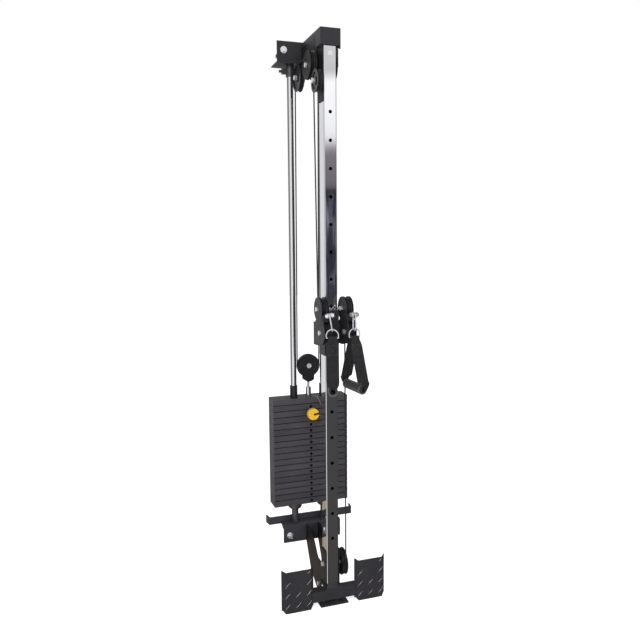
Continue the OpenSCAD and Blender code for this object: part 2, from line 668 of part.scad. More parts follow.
// outline of a carriage plate: two lobes and a squared rear corner
module plate_shape() difference() {
  union() {
    translate([c_up[0], c_up[1]]) circle(r = 44, $fn = 72);
    translate([c_low[0], c_low[1]]) circle(r = 43, $fn = 72);
    polygon([[-66, 1140], [-90, 1095], [-55, 1027], [-30, 1020], [26, 1018], [24, 1024], [24, 1095],
      [27, 1102], [20, 1101], [2, 1108], [-3, 1114], [-3, 1122], [10, 1128]]);
  }
  for (c = [c_up, c_low]) translate([c[0], c[1]]) circle(r = axle_r + 0.1);
  translate([ball_c[0], ball_c[1]]) circle(r = sqrt(pow(ball_r, 2) - pow(car_gap_x, 2)) + 0.8, $fn = 48);
}

module carriage_plates() color([0.32, 0.32, 0.33]) place()
  for (s = [-1, 1]) for (x = [-car_gap_x - 3, car_gap_x])
    sheet_x(s * pul_x + x, s * pul_x + x + 3) plate_shape();

module carriage_axles() color([0.88, 0.88, 0.89]) place() for (s = [-1, 1]) for (c = [c_up, c_low]) {
  x0 = c == c_up ? 15 : 24;
  bar_x(c, s < 0 ? -62 : x0, s < 0 ? -x0 : 62, axle_r);
  hex_x(c, s < 0 ? -69 : 62, s < 0 ? -62 : 69, 16);
  hex_x(c, s < 0 ? -32 : 24, s < 0 ? -24 : 32, 16);
  for (e = [[35, pul_x - pul_w / 2 - 0.3], [pul_x + pul_w / 2 + 0.3, 59]])
    spacer(c, e[0], e[1], s);
}

// spring plunger in the sleeve's front
module pop_pin() color([0.1, 0.1, 0.1]) place() translate([0, -pop_out, 0]) union() {
  bar_y([0, 1059], -22, 8, 4.9);
  bar_y([0, 1059], -30, -14.2, 10);
}

// round rod between two points
module rod(a, b, r) {
  v = b - a;
  translate(a) rotate([0, acos(v[2] / norm(v)), atan2(v[1], v[0])]) cylinder(h = norm(v), r = r);
}

function side_turn(s) = s < 0 ? turn_l : turn_r;
function back_point(s) = [s * pul_x - 17 * sin(side_turn(s)), pin_c[0] + 17 * cos(side_turn(s)), pin_c[1]];
function ball_point(s) = [s * pul_x, ball_c[0], ball_c[1]];

// rubber ball stop on the cable, bored for the shackle's stem
module ball(s) difference() {
  translate(ball_point(s)) sphere(r = ball_r, $fn = 48);
  rod(ball_point(s), back_point(s), 5.02);
}

// shackle on a stem out of the ball, with the cross pin that carries the hook
module shackle(s) {
  difference() {
    rod(ball_point(s), back_point(s), 5);
    at_pin(s) box([-30, -30, -30], [30, 16, 30]);
  }
  at_pin(s) {
    for (e = [-1, 1]) {
      bar_x([0, 0], e * 8 - 1.5, e * 8 + 1.5, 9.5);
      box([e * 8 - 1.5, 0, -6], [e * 8 + 1.5, 20, 6]);
      bar_x([0, 0], e < 0 ? -15.5 : 9.5, e < 0 ? -9.5 : 15.5, 7);
    }
    box([-9.5, 16, -6], [9.5, 20, 6]);
    bar_x([0, 0], -14, 14, 3.5);
  }
}

// snap hook: long link in the YZ plane with a gap closed by the gate
module hook_body() {
  z1 = hook_z;
  translate([0, 0, z1 - hook_r]) rotate([90, 0, 90]) rotate_extrude(angle = 180, $fn = 32)
    translate([hook_r, 0]) circle(r = hook_w, $fn = 20);
  translate([0, 0, z1 - hook_h + hook_r]) rotate([90, 0, 90]) mirror([0, 1, 0])
    rotate_extrude(angle = 180, $fn = 32) translate([hook_r, 0]) circle(r = hook_w, $fn = 20);
  translate([0, hook_r, z1 - hook_h + hook_r]) cylinder(h = hook_h - 2 * hook_r, r = hook_w, $fn = 20);
  translate([0, -hook_r, z1 - hook_h + hook_r]) cylinder(h = 3.2, r = hook_w, $fn = 20);
  translate([0, -hook_r, z1 - hook_r - nose]) cylinder(h = nose, r = hook_w, $fn = 20);
}

module gate_body() {
  z1 = hook_z;
  translate([0, -hook_r, z1 - hook_h + hook_r + 6.2]) {
    sphere(r = 2.4, $fn = 20);
    cylinder(h = hook_h - 2 * hook_r - 6.4 - nose, r = 2.4, $fn = 20);
  }
}

// half ring with rounded corners and a straight bar for the webbing
module ring_body() {
  c = ring_c;
  h = ring_bar - c;
  rotate([90, 0, 0]) rotate_extrude(angle = 180, $fn = 40)
    translate([ring_x, 0]) circle(r = ring_w, $fn = 16);
  for (s = [-1, 1]) {
    translate([s * ring_x, 0, -h]) cylinder(h = h, r = ring_w, $fn = 16);
    translate([s * (ring_x - c), 0, -h]) rotate([90, s < 0 ? 180 : 90, 0])
      rotate_extrude(angle = 90, $fn = 24) translate([c, 0]) circle(r = ring_w, $fn = 16);
  }
  translate([c - ring_x, 0, -ring_bar]) rotate([0, 90, 0])
    cylinder(h = 2 * (ring_x - c), r = ring_w, $fn = 16);
}

// webbing loop: folded over the ring's bar, two legs down to the grip's ends, rolled inside the tube
module strap_body(d) {
  r0 = ring_w + 0.3;
  w = web_w / 2;
  e = grip_l / 2;
  intersection() {
    rotate([90, 0, 90]) linear_extrude(height = 2 * w, center = true) difference() {
      polygon([
        [-r0 - web_t, 1], [-r0 - web_t, -4], [-e - 5.2, 26 - d], [-e - 6.2, 8 - d], [-e - 4.5, -4 - d],
        [-e - 0.5, -11 - d], [e + 0.5, -11 - d], [e + 4.5, -4 - d], [e + 6.2, 8 - d], [e + 5.2, 26 - d],
        [r0 + web_t, -4], [r0 + web_t, 1], [r0, r0 + web_t], [-r0, r0 + web_t]]);
      polygon([
        [-r0, 1], [-r0, -8], [-e - 2.4, 26 - d], [-e - 3.2, 12 - d], [-e - 0.5, 5 - d], [-e - 0.5, -20 - d],
        [e + 0.5, -20 - d], [e + 0.5, 5 - d], [e + 3.2, 12 - d], [e + 2.4, 26 - d], [r0, -8], [r0, 1],
        [r0 - 1, r0], [1 - r0, r0]]);
    }
    translate([0, 100, 0]) rotate([90, 0, 0]) linear_extrude(height = 200) polygon([
      [-fold_x, 10], [-fold_x, -6], [-w, -30], [-w, 16 - d], [-14, 4 - d], [-8, -12 - d],
      [8, -12 - d], [14, 4 - d], [w, 16 - d], [w, -30], [fold_x, -6], [fold_x, 10]]);
  }
  bar_y([0, -d], -e - 0.8, e + 0.8, 11.2);
}

// foam grip with end caps around a hollow tube
module grip_body() difference() {
  e = grip_l / 2;
  union() {
    bar_y([0, 0], -e + 4, e - 4, grip_r - 1);
    for (s = [-1, 1]) bar_y([0, 0], s < 0 ? -e : e - 5, s < 0 ? -e + 5 : e, grip_r);
  }
  bar_y([0, 0], -e - 1, e + 1, 11.5);
}

// local frame of each handle at its cross pin
module at_pin(s) {
  translate([s * pul_x, pin_c[0], pin_c[1]]) rotate([0, 0, side_turn(s)])
    rotate([0, s < 0 ? -tilt_l : 0, 0]) children();
}

// place of the ring's centre below the hook, in the handle's plumb frame
hook_low = hook_z - hook_h;
ring_lift = hook_w + ring_w + 0.3 - ring_x;
function ring_at(s) = s < 0 ? [-hook_low * sin(tilt_l), 0, hook_low * cos(tilt_l) + ring_lift]
  : [0, 0, hook_low + ring_lift];

module at_ring(s) {
  translate([s * pul_x, pin_c[0], pin_c[1]]) rotate([0, 0, side_turn(s)]) translate(ring_at(s)) children();
}

module ball_left() color([0.06, 0.06, 0.06]) place() ball(-1);
module ball_right() color([0.06, 0.06, 0.06]) place() ball(1);
module shackle_left() color([0.85, 0.85, 0.85]) place() shackle(-1);
module shackle_right() color([0.85, 0.85, 0.85]) place() shackle(1);
module hook_left() color([0.8, 0.8, 0.8]) place() at_pin(-1) hook_body();
module hook_right() color([0.8, 0.8, 0.8]) place() at_pin(1) hook_body();
module gate_left() color([0.8, 0.8, 0.8]) place() at_pin(-1) gate_body();
module gate_right() color([0.8, 0.8, 0.8]) place() at_pin(1) gate_body();
module ring_left() color([0.8, 0.8, 0.8]) place() at_ring(-1) ring_body();
module ring_right() color([0.8, 0.8, 0.8]) place() at_ring(1) ring_body();
module strap_left() color([0.1, 0.1, 0.1]) place()
  at_ring(-1) translate([0, 0, -ring_bar]) strap_body(drop);
module strap_right() color([0.1, 0.1, 0.1]) place()
  at_ring(1) translate([0, 0, -ring_bar]) strap_body(drop);
module grip_left() color([0.08, 0.08, 0.08]) place()
  at_ring(-1) translate([0, 0, -ring_bar - drop]) grip_body();
module grip_right() color([0.08, 0.08, 0.08]) place()
  at_ring(1) translate([0, 0, -ring_bar - drop]) grip_body();

column();
base_beam();
foot_plates();
side_plates();
lower_bracket();
upper_bracket();
frame_bolts();
head_box();
top_beam();
pulley_hangers();
pulley_axles();
guide_rods();
rod_spacers();
rubber_bumpers();
standoff_bar();
stack_plates();
cable_top();
pulley_rear_left();
pulley_front_left();
pulley_guide();
pulley_rear_right();
pulley_front_right();
pulley_bottom();
top_plate();
plate_02();
plate_03();
rod_bushings();
selector_rod();
pulley_housing();
moving_pulley();
cable_loop();
cable_lift_runs();
lanyard();
selector_pin();
sleeve();
liners();
carriage_plates();
carriage_axles();
pulley_upper_left();
pulley_lower_left();
pulley_upper_right();
pulley_lower_right();
pop_pin();
cable_down();
cable_up();
cable_exits();
ball_left();
shackle_left();
hook_left();
gate_left();
ring_left();
strap_left();
grip_left();
ball_right();
shackle_right();
hook_right();
gate_right();
ring_right();
strap_right();
grip_right();
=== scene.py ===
# %% [markdown]
# # A wall pulley weight stack
#
# This notebook dresses a imported CAD model of a wall-mounted cable machine. The solids are already
# right: a chrome column with locking holes, a stack of steel plates on two guide rods, pulleys, and
# a carriage with two handles. What is left is what a camera sees: chrome that mirrors a studio,
# powder coat, woven webbing, foam and cord.
#
# The model is loaded first.

import json
import math

import bpy
import numpy as np
from mathutils import Matrix


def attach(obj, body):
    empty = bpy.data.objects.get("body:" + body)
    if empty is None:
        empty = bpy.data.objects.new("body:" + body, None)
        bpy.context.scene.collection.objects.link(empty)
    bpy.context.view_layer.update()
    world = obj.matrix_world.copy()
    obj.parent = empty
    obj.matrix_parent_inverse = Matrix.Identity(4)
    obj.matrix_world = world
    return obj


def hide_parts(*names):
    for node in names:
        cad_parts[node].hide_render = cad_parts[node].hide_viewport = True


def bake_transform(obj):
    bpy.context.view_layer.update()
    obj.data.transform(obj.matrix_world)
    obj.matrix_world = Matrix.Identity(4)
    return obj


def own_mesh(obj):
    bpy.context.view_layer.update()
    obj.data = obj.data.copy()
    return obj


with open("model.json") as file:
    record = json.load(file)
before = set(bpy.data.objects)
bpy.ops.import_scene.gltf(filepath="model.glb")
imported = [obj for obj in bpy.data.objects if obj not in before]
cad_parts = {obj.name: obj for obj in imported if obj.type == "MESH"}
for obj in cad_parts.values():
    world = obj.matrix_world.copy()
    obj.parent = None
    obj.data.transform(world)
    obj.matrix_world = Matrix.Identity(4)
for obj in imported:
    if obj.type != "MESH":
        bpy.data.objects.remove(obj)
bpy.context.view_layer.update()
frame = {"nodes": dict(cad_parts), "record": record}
nodes = frame["nodes"]

# %% [markdown]
# ## Lengths that every piece uses
#
# The CAD is drawn in millimetres with the column's front face at zero depth. Its rows are shifted
# back so that the whole object is centred. One helper makes that shift, so a point can be written
# here as it is in the drawing.

# %% Drawing coordinates
ROW_SHIFT = -0.086822
MM = 0.001


def drawing(points):
    """Points in the drawing's millimetres, as metres in the object's frame: scale by a thousandth,
    then shift Y."""
    return np.asarray(points, float) * MM + np.array([0.0, ROW_SHIFT, 0.0])


print("column front at", drawing([0, 0, 0]).round(4))

# %% [markdown]
# ## The camera
#
# The photograph was taken from the front left, a little above half height. The focal length and
# place below are those of a pinhole camera fitted to the locking holes, the plate corners and the
# foot plates. Blender's lens is in millimetres: the focal length in pixels, times the sensor's
# width over the picture's.

# %% Place the camera
FOCAL_PX, PICTURE_PX = 665.573, 640
SENSOR = 36.0
YAW, PITCH, ROLL = 18.794, 6.804, 0.4265
CAMERA_AT = drawing([-830.14, -2307.94, 1401.15])


def camera_axes(yaw, pitch, roll):
    """Right, up and backward directions of a camera that looks along +Y, turned to +X by yaw and
    down by pitch. Roll then turns right towards down."""
    y, p, r = np.radians([yaw, pitch, roll])
    forward = np.array([np.sin(y) * np.cos(p), np.cos(y) * np.cos(p), -np.sin(p)])
    level = np.array([np.cos(y), -np.sin(y), 0.0])
    down = np.cross(forward, level)
    right = np.cos(r) * level + np.sin(r) * down
    return right, np.sin(r) * level - np.cos(r) * down, -forward


def stand(right, up, back, at):
    """The matrix that puts a camera or a lamp at a point, with these three directions."""
    whole = np.eye(4)
    whole[:3] = np.stack([right, up, back, at], axis=1)
    return Matrix(whole.tolist())


def linked(name, data):
    """A new object of the scene that holds this data."""
    made = bpy.data.objects.new(name, data)
    bpy.context.scene.collection.objects.link(made)
    return made


camera_data = bpy.data.cameras.new("photo_camera")
camera_data.sensor_fit = "HORIZONTAL"
camera_data.sensor_width = SENSOR
camera_data.lens = FOCAL_PX * SENSOR / PICTURE_PX
camera_data.clip_end = 100
camera = linked("photo_camera", camera_data)
camera.matrix_world = stand(*camera_axes(YAW, PITCH, ROLL), CAMERA_AT)
bpy.context.scene.camera = camera
print("lens", round(camera_data.lens, 2), "mm at", CAMERA_AT.round(3))

# %% [markdown]
# ## Surfaces from numpy
#
# Every new piece is a grid of points, worked out as one array and turned into quads. Its columns
# close on themselves, as a ring does. Its rows close too, or else each end gets a cap that meets in
# one middle point. That covers tubes, turned shapes and ribbons.

# %% Grid to mesh


def grid_faces(rows, columns, wrap_rows):
    """Quads between neighbours of a grid of rows by columns, numbered row by row."""
    r = np.arange(rows if wrap_rows else rows - 1)[:, None]
    c = np.arange(columns)[None, :]
    r1, c1 = (r + 1) % rows, (c + 1) % columns
    corners = [r * columns + c, r * columns + c1, r1 * columns + c1, r1 * columns + c]
    return np.stack([k.ravel() for k in corners], axis=1)


def read(items, name, kind, width=1):
    """One property of all the vertices, corners or faces of a mesh, as rows of an array."""
    flat = np.zeros(len(items) * width, kind)
    items.foreach_get(name, flat)
    return flat.reshape(-1, width) if width > 1 else flat


def grid_mesh(name, grid, wrap_rows=False, uv=None):
    """Mesh of a grid of points. Where the rows don't wrap, each end row is closed by triangles to
    its mean point. UV gives each point its place on the mesh's own map."""
    rows, columns = grid.shape[:2]
    points = grid.reshape(-1, 3)
    faces = grid_faces(rows, columns, wrap_rows).tolist()
    if not wrap_rows:
        points = np.vstack([points, grid[0].mean(axis=0), grid[-1].mean(axis=0)])
        a = np.arange(columns)
        b = (a + 1) % columns
        last = (rows - 1) * columns
        first_cap = np.stack([b, a, np.full(columns, rows * columns)], axis=1)
        last_cap = np.stack([last + a, last + b, np.full(columns, rows * columns + 1)], axis=1)
        faces += first_cap.tolist() + last_cap.tolist()
    mesh = bpy.data.meshes.new(name)
    mesh.from_pydata(points.tolist(), [], faces)
    if uv is not None:
        layer = mesh.uv_layers.new(name="UVMap")
        flat = np.vstack([uv.reshape(-1, 2), uv[0].mean(axis=0), uv[-1].mean(axis=0)])
        corner = read(mesh.loops, "vertex_index", np.int32)
        layer.data.foreach_set("uv", flat[corner].astype(np.float32).ravel())
    return mesh


print("a ring of 3 by 4 points has", len(grid_faces(3, 4, False)), "faces")

# %% Closed meshes and pieces


def outward(mesh):
    """Turns the faces of a closed mesh so that its signed volume is above zero. The volume is a
    sixth of the sum of a . (b x c) over its triangles."""
    mesh.calc_loop_triangles()
    points = read(mesh.vertices, "co", np.float32, 3).astype(float)
    triangles = read(mesh.loop_triangles, "vertices", np.int32, 3)
    a, b, c = (points[triangles[:, k]] for k in range(3))
    volume = float(np.einsum("ij,ij->i", a, np.cross(b, c)).sum() / 6)
    if volume < 0:
        mesh.flip_normals()
    return abs(volume)


def joined(name, meshes):
    """One mesh that holds the faces of several, each already turned outwards. Their corner lists
    follow each other, each raised by the number of points before it."""
    points, corners, sizes, start = [], [], [], 0
    for mesh in meshes:
        outward(mesh)
        points.append(read(mesh.vertices, "co", np.float32, 3))
        corners.append(read(mesh.loops, "vertex_index", np.int32) + start)
        sizes.append(read(mesh.polygons, "loop_total", np.int32))
        start += len(mesh.vertices)
    faces = np.split(np.concatenate(corners), np.cumsum(np.concatenate(sizes))[:-1])
    whole = bpy.data.meshes.new(name)
    whole.from_pydata(np.vstack(points).tolist(), [], [face.tolist() for face in faces])
    return whole


def add_piece(name, mesh, material):
    """A new object at the origin that shows a mesh, or a list of meshes joined, in one material."""
    mesh = joined(name, mesh) if isinstance(mesh, list) else mesh
    volume = outward(mesh)
    mesh.materials.append(material)
    mesh.polygons.foreach_set("use_smooth", np.full(len(mesh.polygons), True))
    print(f"{name}: {len(mesh.polygons)} faces, {volume * 1e6:.1f} cm3")
    return linked(name, mesh)


print("piece helpers ready")

# %% Tubes and turned shapes


def unit(v):
    """Vectors divided by their lengths."""
    v = np.asarray(v, float)
    return v / np.linalg.norm(v, axis=-1, keepdims=True)


def tube_grid(path, radius, sides, side=(1, 0, 0)):
    """Rings square to a path: each ring is path + radius (cos a U + sin a V), with U and V square
    to the path's direction, which is the mean of the two unit steps beside the point. Radius may be
    one value per point."""
    path = np.asarray(path, float)
    step = unit(np.diff(path, axis=0))
    along = unit(np.vstack([step[:1], step[:-1] + step[1:], step[-1:]]))
    side = np.broadcast_to(np.asarray(side, float), along.shape)
    u = unit(side - (side * along).sum(axis=1, keepdims=True) * along)
    v = np.cross(along, u)
    a = np.linspace(0, 2 * np.pi, sides, endpoint=False)
    ring = np.cos(a)[:, None] * u[:, None] + np.sin(a)[:, None] * v[:, None]
    radius = np.broadcast_to(np.asarray(radius, float), (len(path),))
    return path[:, None] + radius[:, None, None] * ring


def turned_grid(profile, origin, axis, sides):
    """A turned shape: profile rows are (distance along the axis, radius), carried round the axis at
    origin."""
    axis = unit(axis)
    side = np.array([0.0, 0.0, 1.0]) if abs(axis[2]) < 0.9 else np.array([1.0, 0.0, 0.0])
    u = unit(np.cross(side, axis))
    v = np.cross(axis, u)
    a = np.linspace(0, 2 * np.pi, sides, endpoint=False)
    ring = np.cos(a)[:, None] * u + np.sin(a)[:, None] * v
    profile = np.asarray(profile, float)
    return origin + profile[:, None, :1] * axis + profile[:, None, 1:] * ring[None]


print("a tube's ring", tube_grid([[0, 0, 0], [0, 0, 1]], 0.5, 4)[0].round(2).tolist())

# %% [markdown]
# ## A small kit for materials
#
# A procedural material is a handful of nodes joined by links. The helper below adds a node, sets
# its inputs and joins it in one call, so a recipe reads like a list of what the finish is made of.
# The short helpers after it name the steps that most recipes share.

# %% Node helper


def new_tree(name):
    """A material with its Principled shader, a function that adds a node to it, and the point's
    Object coordinates, which move with the piece."""
    material = bpy.data.materials.new(name)
    material.use_nodes = True
    tree = material.node_tree
    shader = next(n for n in tree.nodes if n.type == "BSDF_PRINCIPLED")
    add = node_adder(tree)
    return material, shader, add, add("ShaderNodeTexCoord").outputs["Object"]


def node_adder(tree):
    """A function add(kind, settings, **inputs): inputs are values, or other nodes to link."""

    def add(kind, settings=None, **inputs):
        node = tree.nodes.new(kind)
        for key, value in (settings or {}).items():
            setattr(node, key, value)
        for key, value in inputs.items():
            at = int(key[2:]) if key.startswith("in") else key.replace("_", " ")
            join(tree, node.inputs[at], value)
        return node

    return add


def join(tree, socket, value):
    """Links a socket to another one or to a node's first output, or sets its value."""
    value = value.outputs[0] if isinstance(value, bpy.types.Node) else value
    if isinstance(value, bpy.types.NodeSocket):
        tree.links.new(value, socket)
    else:
        socket.default_value = value


print("node helper ready")

# %% Steps that recipes share


def grey(level):
    """An even colour of one linear level."""
    return (level, level, level, 1.0)


def mix(add, amount, low, high):
    """A mix of two colours by amount."""
    return add("ShaderNodeMix", {"data_type": "RGBA"}, Factor=amount, in6=low, in7=high).outputs[2]


def remap(add, value, low, high, to_low=0.0, to_high=1.0):
    """A value carried from one range to another and held inside it."""
    return add("ShaderNodeMapRange", Value=value, From_Min=low, From_Max=high, To_Min=to_low,
               To_Max=to_high)


def noise(add, vector, scale, detail=4.0, rough=0.55):
    """Noise from nought to one at this scale per metre."""
    return add("ShaderNodeTexNoise", Vector=vector, Scale=scale, Detail=detail,
               Roughness=rough)


def maths(add, kind, a, b=0.0, c=0.0):
    """One Math node on up to three values."""
    return add("ShaderNodeMath", {"operation": kind}, in0=a, in1=b, in2=c)


def all_of(add, tests):
    """One where every test (kind, value, limit) holds, and nought elsewhere."""
    held = 1.0
    for kind, value, limit in tests:
        held = maths(add, "MULTIPLY", held, maths(add, kind, value, limit))
    return held


def xyz(add, vector):
    """The three parts of a vector."""
    return add("ShaderNodeSeparateXYZ", Vector=vector).outputs


def own_map(add):
    """U and V of a piece's own map, as the first two parts of a vector."""
    return xyz(add, add("ShaderNodeUVMap", {"uv_map": "UVMap"}))


def look(shader, **inputs):
    """Sets the shader's inputs, or links them, by their names with _ for a space."""
    for key, value in inputs.items():
        join(shader.id_data, shader.inputs[key.replace("_", " ")], value)


def bump(add, shader, height, distance, **more):
    """Raises the surface by height times distance."""
    made = add("ShaderNodeBump", Height=height, Distance=distance, **more)
    look(shader, Normal=made)


def level_ramp(add, value, stops):
    """A colour ramp through stops of (place, colour)."""
    node = add("ShaderNodeValToRGB", Fac=value)
    elements = node.color_ramp.elements
    while len(elements) < len(stops):
        elements.new(0.5)
    for element, (at, colour) in zip(elements, stops):
        element.position = at
        element.color = colour
    return node


print("material kit ready")

# %% [markdown]
# ## Chrome
#
# The column and the guide rods are chrome-plated tube. Real chrome is almost a mirror, so its look
# comes from what it reflects. The finish adds only what breaks a perfect mirror: wiped smears that
# change the roughness, and very shallow waves along the tube from drawing and polishing it.

# %% Chrome finish


def chrome_finish(name, wave, rough, hollow=None):
    """Metal whose roughness runs between two values by two noises, with shallow waves along Z. A
    hollow tube (half width, half depth, middle depth) is rough inside, where the plating didn't
    reach, and is painted near black there as painted shade inside the tube."""
    material, shader, add, place = new_tree(name)
    long_way = add("ShaderNodeMapping", Vector=place, Scale=(1.0, 1.0, 0.12))
    smear = noise(add, place, 9.0, 5.0)
    both = maths(add, "MULTIPLY_ADD", noise(add, long_way, 260.0, 3.0), 0.35, smear)
    rough = remap(add, both, 0.4, 1.0, *rough)
    tone = mix(add, remap(add, smear, 0.35, 0.7), (0.80, 0.80, 0.82, 1), (0.74, 0.745, 0.77, 1))
    if hollow:
        half_width, half_depth, middle = hollow
        part = xyz(add, place)
        across = maths(add, "ABSOLUTE", part[0])
        deep = maths(add, "ABSOLUTE", maths(add, "SUBTRACT", part[1], middle))
        inside = all_of(add, [("LESS_THAN", across, half_width), ("LESS_THAN", deep, half_depth)])
        # Painted shade: the inside of the tube, seen through the locking holes, is made near black.
        tone = mix(add, inside, tone, grey(0.004))
        rough = maths(add, "MAXIMUM", rough, inside)
    look(shader, Base_Color=tone, Roughness=rough, Metallic=1.0)
    bump(add, shader, noise(add, long_way, 35.0, 2.0), wave)
    return material


COLUMN_BORE = (22.3 * MM, 25.3 * MM, 27 * MM + ROW_SHIFT)
chrome = chrome_finish("chrome", 0.000002, (0.05, 0.1))
column_chrome = chrome_finish("column_chrome", 0.00002, (0.02, 0.07), COLUMN_BORE)
print(column_chrome.name, len(column_chrome.node_tree.nodes), "nodes")

# %% [markdown]
# ## Powder coat and paint
#
# The brackets, beam, foot plates and carriage are dark grey powder coat, which cures to a fine
# orange-peel skin. The steel plates carry a thinner satin coat. One recipe makes both, with a paler
# copy of the coat as painted light on the carriage's sleeve, the lower bracket and the stand-off
# bar, which lie in shade, and a darker one for the side plates and pulley hangers: two noises for
# an uneven tone, a fine noise for the skin, and rubbed corners, found with the Bevel node, which
# bends the normal near an edge.
#
# Fifteen of the steel plates are one solid in the file. So each plate's own slight tone, and the
# painted shade in the grooves between them, are worked out from a point's place in the stack.

# %% Coated steel finish
PLATE_FRONT = 256 * MM + ROW_SHIFT
PLATE_PITCH = 25.2 * MM
STACK_BASE = 303 * MM
GROOVE_NEAR, GROOVE_FAR = 0.4 * MM, 4 * MM
GROOVE_TOP = 755 * MM
GROOVE_HALF = 160.2 * MM


def groove_shade_mask(add, place):
    """Where painted shade goes: one on the walls and floors of the grooves between the stack's
    plates, a little behind the plates' front faces, clear of their sides and of the top plate's
    upper face."""
    part = xyz(add, place)
    behind = maths(add, "SUBTRACT", part[1], PLATE_FRONT)
    return all_of(add, [("GREATER_THAN", behind, GROOVE_NEAR), ("LESS_THAN", behind, GROOVE_FAR),
                        ("LESS_THAN", part[2], GROOVE_TOP),
                        ("LESS_THAN", maths(add, "ABSOLUTE", part[0]), GROOVE_HALF)])


def coated_steel(name, base, worn, rough, grain, depth, stack=False):
    """Paint of one tone, a little uneven, paler at rubbed edges. Its skin has this grain per metre
    and this depth in metres. On the stack, each plate gets its own slight tone from a white noise
    of its number, and the grooves get painted shade."""
    material, shader, add, place = new_tree(name)
    cloud = noise(add, place, 14.0, 6.0)
    tone = mix(add, remap(add, cloud, 0.3, 0.75), tuple(0.84 * c for c in base[:3]) + (1,), base)
    if stack:
        above = maths(add, "SUBTRACT", xyz(add, place)[2], STACK_BASE)
        number = maths(add, "FLOOR", maths(add, "DIVIDE", above, PLATE_PITCH))
        chance = add("ShaderNodeTexWhiteNoise", {"noise_dimensions": "1D"}, W=number)
        shade = remap(add, chance, 0.0, 1.0, 0.86, 1.12)
        tone = add("ShaderNodeVectorMath", {"operation": "SCALE"}, in0=tone, Scale=shade)
        # Painted shade: the grooves between the plates are made near black.
        tone = mix(add, groove_shade_mask(add, place), tone, (0.006, 0.006, 0.007, 1))
    bevelled = add("ShaderNodeBevel", {"samples": 4}, Radius=1.2 * MM)
    flat = add("ShaderNodeNewGeometry").outputs["Normal"]
    turn = add("ShaderNodeVectorMath", {"operation": "DOT_PRODUCT"}, in0=bevelled,
               in1=flat).outputs["Value"]
    patchy = remap(add, noise(add, place, 60.0, 5.0), 0.42, 0.62, 0.15, 0.9)
    edge = maths(add, "MULTIPLY", remap(add, turn, 0.97, 0.78), patchy)
    look(shader, Base_Color=mix(add, edge, tone, worn), Specular_IOR_Level=0.25,
         Roughness=remap(add, cloud, 0.3, 0.7, rough - 0.05, rough + 0.07))
    bump(add, shader, noise(add, place, grain, 2.0), depth, Strength=0.6, Normal=bevelled)
    return material


WORN = (0.10, 0.10, 0.105, 1)
powder_coat = coated_steel("powder_coat", (0.032, 0.030, 0.035, 1), WORN, 0.46, 1100.0, 0.00012)
# A paler copy of the powder coat, as painted light on parts that lie in shade.
lit_paint = coated_steel("lit_paint", (0.050, 0.048, 0.056, 1), WORN, 0.46, 1100.0, 0.00012)
dark_paint = coated_steel("dark_paint", (0.014, 0.013, 0.014, 1), grey(0.06), 0.5, 1100.0, 0.00012)
stack_paint = coated_steel("stack_paint", (0.061, 0.057, 0.065, 1), (0.10, 0.10, 0.11, 1), 0.5,
                           1500.0, 0.00008, stack=True)
print(powder_coat.name, stack_paint.name, lit_paint.name, dark_paint.name)

# %% [markdown]
# ## Zinc, plastic and rubber
#
# Bolts, snap hooks and rings are bright zinc plate: metal with a faint cloudy tone. Pulleys, tubes
# and housing are black moulded plastic. Rubber and foam are matt, and foam shows fine cells.

# %% Small-part finishes


def zinc_finish():
    """Pale metal with two near tones in patches, and a mid roughness broken by fine noise."""
    material, shader, add, place = new_tree("zinc_plate")
    cloud = noise(add, place, 130.0, 5.0)
    tone = mix(add, remap(add, cloud, 0.35, 0.65), (0.90, 0.90, 0.95, 1), (0.76, 0.76, 0.80, 1))
    look(shader, Base_Color=tone, Metallic=0.7,
         Roughness=remap(add, noise(add, place, 900.0), 0.3, 0.7, 0.16, 0.32))
    bump(add, shader, noise(add, place, 1600.0, 2.0), 0.00002)
    return material


def moulded(name, base, rough, grain, depth, sheen=0.0, specular=0.35):
    """A moulded or foamed surface: one tone with a slow drift, roughness that follows it, and so
    much grain per metre, raised by a depth in metres."""
    material, shader, add, place = new_tree(name)
    drift = noise(add, place, 30.0, 5.0)
    paler = tuple(min(1.0, 1.35 * c) for c in base[:3]) + (1,)
    look(shader, Base_Color=mix(add, remap(add, drift, 0.35, 0.7), base, paler),
         Roughness=remap(add, drift, 0.3, 0.7, rough, rough + 0.06),
         Sheen_Weight=sheen, Specular_IOR_Level=specular)
    bump(add, shader, noise(add, place, grain, 2.0), depth)
    return material


zinc_plate = zinc_finish()
black_plastic = moulded("black_plastic", (0.012, 0.012, 0.014, 1), 0.34, 900.0, 0.00005)
cable_coat = moulded("cable_coat", (0.014, 0.014, 0.015, 1), 0.26, 700.0, 0.00003)
rubber = moulded("rubber", grey(0.015), 0.62, 1400.0, 0.00008, sheen=0.1)
polished = moulded("polished_plastic", (0.034, 0.034, 0.037, 1), 0.2, 600.0, 0.00002, specular=0.9)
grip_foam = moulded("grip_foam", (0.020, 0.020, 0.021, 1), 0.66, 1900.0, 0.0002, sheen=0.25)
print(len(bpy.data.materials), "materials")

# %% [markdown]
# ## Smooth shading on the CAD nodes
#
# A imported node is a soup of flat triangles. On a chrome rod each facet would mirror its own patch
# of studio, like a disco ball. A small Geometry Nodes modifier merges the shared corners and shades
# every edge smooth unless its faces meet at more than thirty degrees. The node's own mesh stays as
# it was. The knob, webbing and cord slots get plain finishes here, as new pieces replace their
# nodes below.

# %% Smooth by angle
SMOOTH_BELOW = math.radians(30)
MERGE_WITHIN = 0.002 * MM


